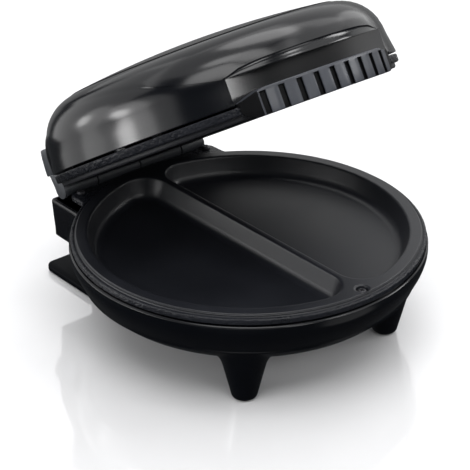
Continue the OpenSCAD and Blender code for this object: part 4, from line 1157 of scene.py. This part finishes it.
# Lights of the stage: name, azimuth and elevation in degrees, distance, width and height in metres,
# brightness, and False where glossy surfaces don't show it
LIGHTS = (
    ("side_softbox", -107, 12, 1.3, 0.36, 0.25, 7.2),
    ("side_glow_softbox", -104, 18, 1.5, 0.9, 0.54, 2.0),
    ("side_wide_softbox", -92, 18, 1.8, 1.5, 1.2, 0.7),
    ("side_rear_softbox", -128, 4, 1.7, 1.1, 1.0, 1.1),
    ("rear_side_softbox", -139, 2, 1.4, 0.30, 0.30, 3.5),
    ("left_card", -150, 14, 2.4, 2.8, 3.6, 0.9),
    ("back_card", 140, 30, 2.6, 3.4, 2.6, 0.65),
    ("horizon_card", 135, -10, 2.6, 3.6, 1.5, 0.22),
    ("overhead_softbox", 134, 66, 1.8, 1.1, 0.8, 2.3),
    ("sky_card", 180, 72, 2.3, 3.0, 2.0, 0.85),
    ("rim_softbox", -40, 80, 1.8, 1.2, 0.5, 3),
    ("right_softbox", 98, 15, 1.8, 1.3, 1.1, 0.8),
    ("front_softbox", -8, 32, 1.8, 0.5, 0.4, 5),
    ("high_front_softbox", 27, 48, 1.8, 0.30, 0.30, 8),
    ("shoulder_softbox", 42, 66, 2.0, 0.8, 0.45, 0.8),
    ("brow_card", 74, 50, 2.2, 2.6, 1.4, 1.1),
    ("brow_left_softbox", -42, 60, 1.8, 1.7, 0.60, 3.0),
    ("crease_softbox", -45, -15, 1.6, 1.7, 0.22, 1.1),
    ("bowl_right_softbox", 24, -30, 1.6, 0.9, 0.6, 0.35),
    ("wall_card_left", 63, 24, 2.0, 0.62, 0.36, 10),
    ("wall_card_right", 24, 26, 2.0, 0.76, 0.5, 2.4),
    ("floor_wash", 0, 90, 2.4, 3.0, 3.0, 1.05, False),
    ("front_fill", -40, 48, 2.2, 2.2, 2.2, 1.3, False),
)


class OMELETTE_OT_stage(bpy.types.Operator):
    """Pale floor, soft lights and the camera"""
    bl_idname = "omelette.stage"
    bl_label = "Stage"

    def execute(self, context):
        scene = context.scene
        bm = bmesh.new()
        bmesh.ops.create_grid(bm, x_segments=4, y_segments=4, size=3.0)
        floor = linked("studio_floor", bm)
        floor.data.materials.append(finish("pale_floor", scene.maker_colours.floor, 0.06, 40, 0.0, 0.01,
                                           metallic=0.3, rough_spread=0.01))
        floor.visible_glossy = False
        for values in LIGHTS:
            self.light(*values)
        world = bpy.data.worlds.new("studio")
        world.use_nodes = True
        sky = world.node_tree.nodes["Background"]
        sky.inputs["Color"].default_value = (0.9, 0.94, 1.0, 1)
        sky.inputs["Strength"].default_value = 0.04
        scene.world = world
        scene.view_settings.view_transform = "Standard"
        self.camera(scene)
        return {"FINISHED"}

    def light(self, name, azimuth, elevation, distance, width, height, glow, shines=True):
        """Area light that faces the object from a direction, with its brightness per area."""
        way = toward(azimuth, elevation)
        data = bpy.data.lights.new(name, "AREA")
        data.shape = "ELLIPSE" if "softbox" in name else "RECTANGLE"
        data.size = width
        data.size_y = height
        data.energy = glow * math.pi * width * height
        lamp = bpy.data.objects.new(name, data)
        lamp.location = way * distance + Vector((0, 0, 0.1))
        lamp.rotation_euler = way.to_track_quat("Z", "Y").to_euler()
        lamp.visible_glossy = shines
        bpy.context.scene.collection.objects.link(lamp)

    def camera(self, scene):
        """Camera at the photograph's angle, slightly rolled."""
        roll = math.radians(-0.36)
        back = toward(-39.61, 28.42)
        right = (-back).cross(Vector((0, 0, 1))).normalized()
        up = right.cross(-back)
        across = right * math.cos(roll) + up * math.sin(roll)
        above = up * math.cos(roll) - right * math.sin(roll)
        data = bpy.data.cameras.new("photo_camera")
        data.lens = 133.71
        data.sensor_width = 36
        data.clip_start = 0.01
        camera = bpy.data.objects.new("photo_camera", data)
        frame_matrix = Matrix((across, above, back)).transposed().to_4x4()
        frame_matrix.translation = Vector((-0.60721, -0.73595, 0.57130))
        camera.matrix_world = frame_matrix
        scene.collection.objects.link(camera)
        scene.camera = camera


class OMELETTE_PT_panel(bpy.types.Panel):
    """Lists the omelette maker's pieces"""
    bl_idname = "OMELETTE_PT_panel"
    bl_label = "Omelette maker"
    bl_space_type = "VIEW_3D"
    bl_region_type = "UI"
    bl_category = "Omelette maker"

    def draw(self, context):
        for operator in OPERATORS:
            self.layout.operator(operator.bl_idname)
        for group in (context.scene.maker_sizes, context.scene.maker_colours):
            box = self.layout.box()
            for key in type(group).__annotations__:
                box.prop(group, key)


OPERATORS = (OMELETTE_OT_lid, OMELETTE_OT_cover, OMELETTE_OT_grip, OMELETTE_OT_plates, OMELETTE_OT_bowl,
             OMELETTE_OT_stand, OMELETTE_OT_hinge, OMELETTE_OT_screws, OMELETTE_OT_lamps,
             OMELETTE_OT_inner_parts, OMELETTE_OT_stage)
CLASSES = (MakerSizes, MakerColours) + OPERATORS + (OMELETTE_PT_panel,)


def register():
    for item in CLASSES:
        bpy.utils.register_class(item)
    bpy.types.Scene.maker_sizes = PointerProperty(type=MakerSizes)
    bpy.types.Scene.maker_colours = PointerProperty(type=MakerColours)


def unregister():
    del bpy.types.Scene.maker_sizes
    del bpy.types.Scene.maker_colours
    for item in reversed(CLASSES):
        bpy.utils.unregister_class(item)


def main():
    register()
    bpy.ops.omelette.lid()
    bpy.ops.omelette.cover()
    bpy.ops.omelette.grip()
    bpy.ops.omelette.plates()
    bpy.ops.omelette.bowl()
    bpy.ops.omelette.stand()
    bpy.ops.omelette.hinge()
    bpy.ops.omelette.screws()
    bpy.ops.omelette.lamps()
    bpy.ops.omelette.inner_parts()
    bpy.ops.omelette.stage()


if __name__ == "__main__":
    main()
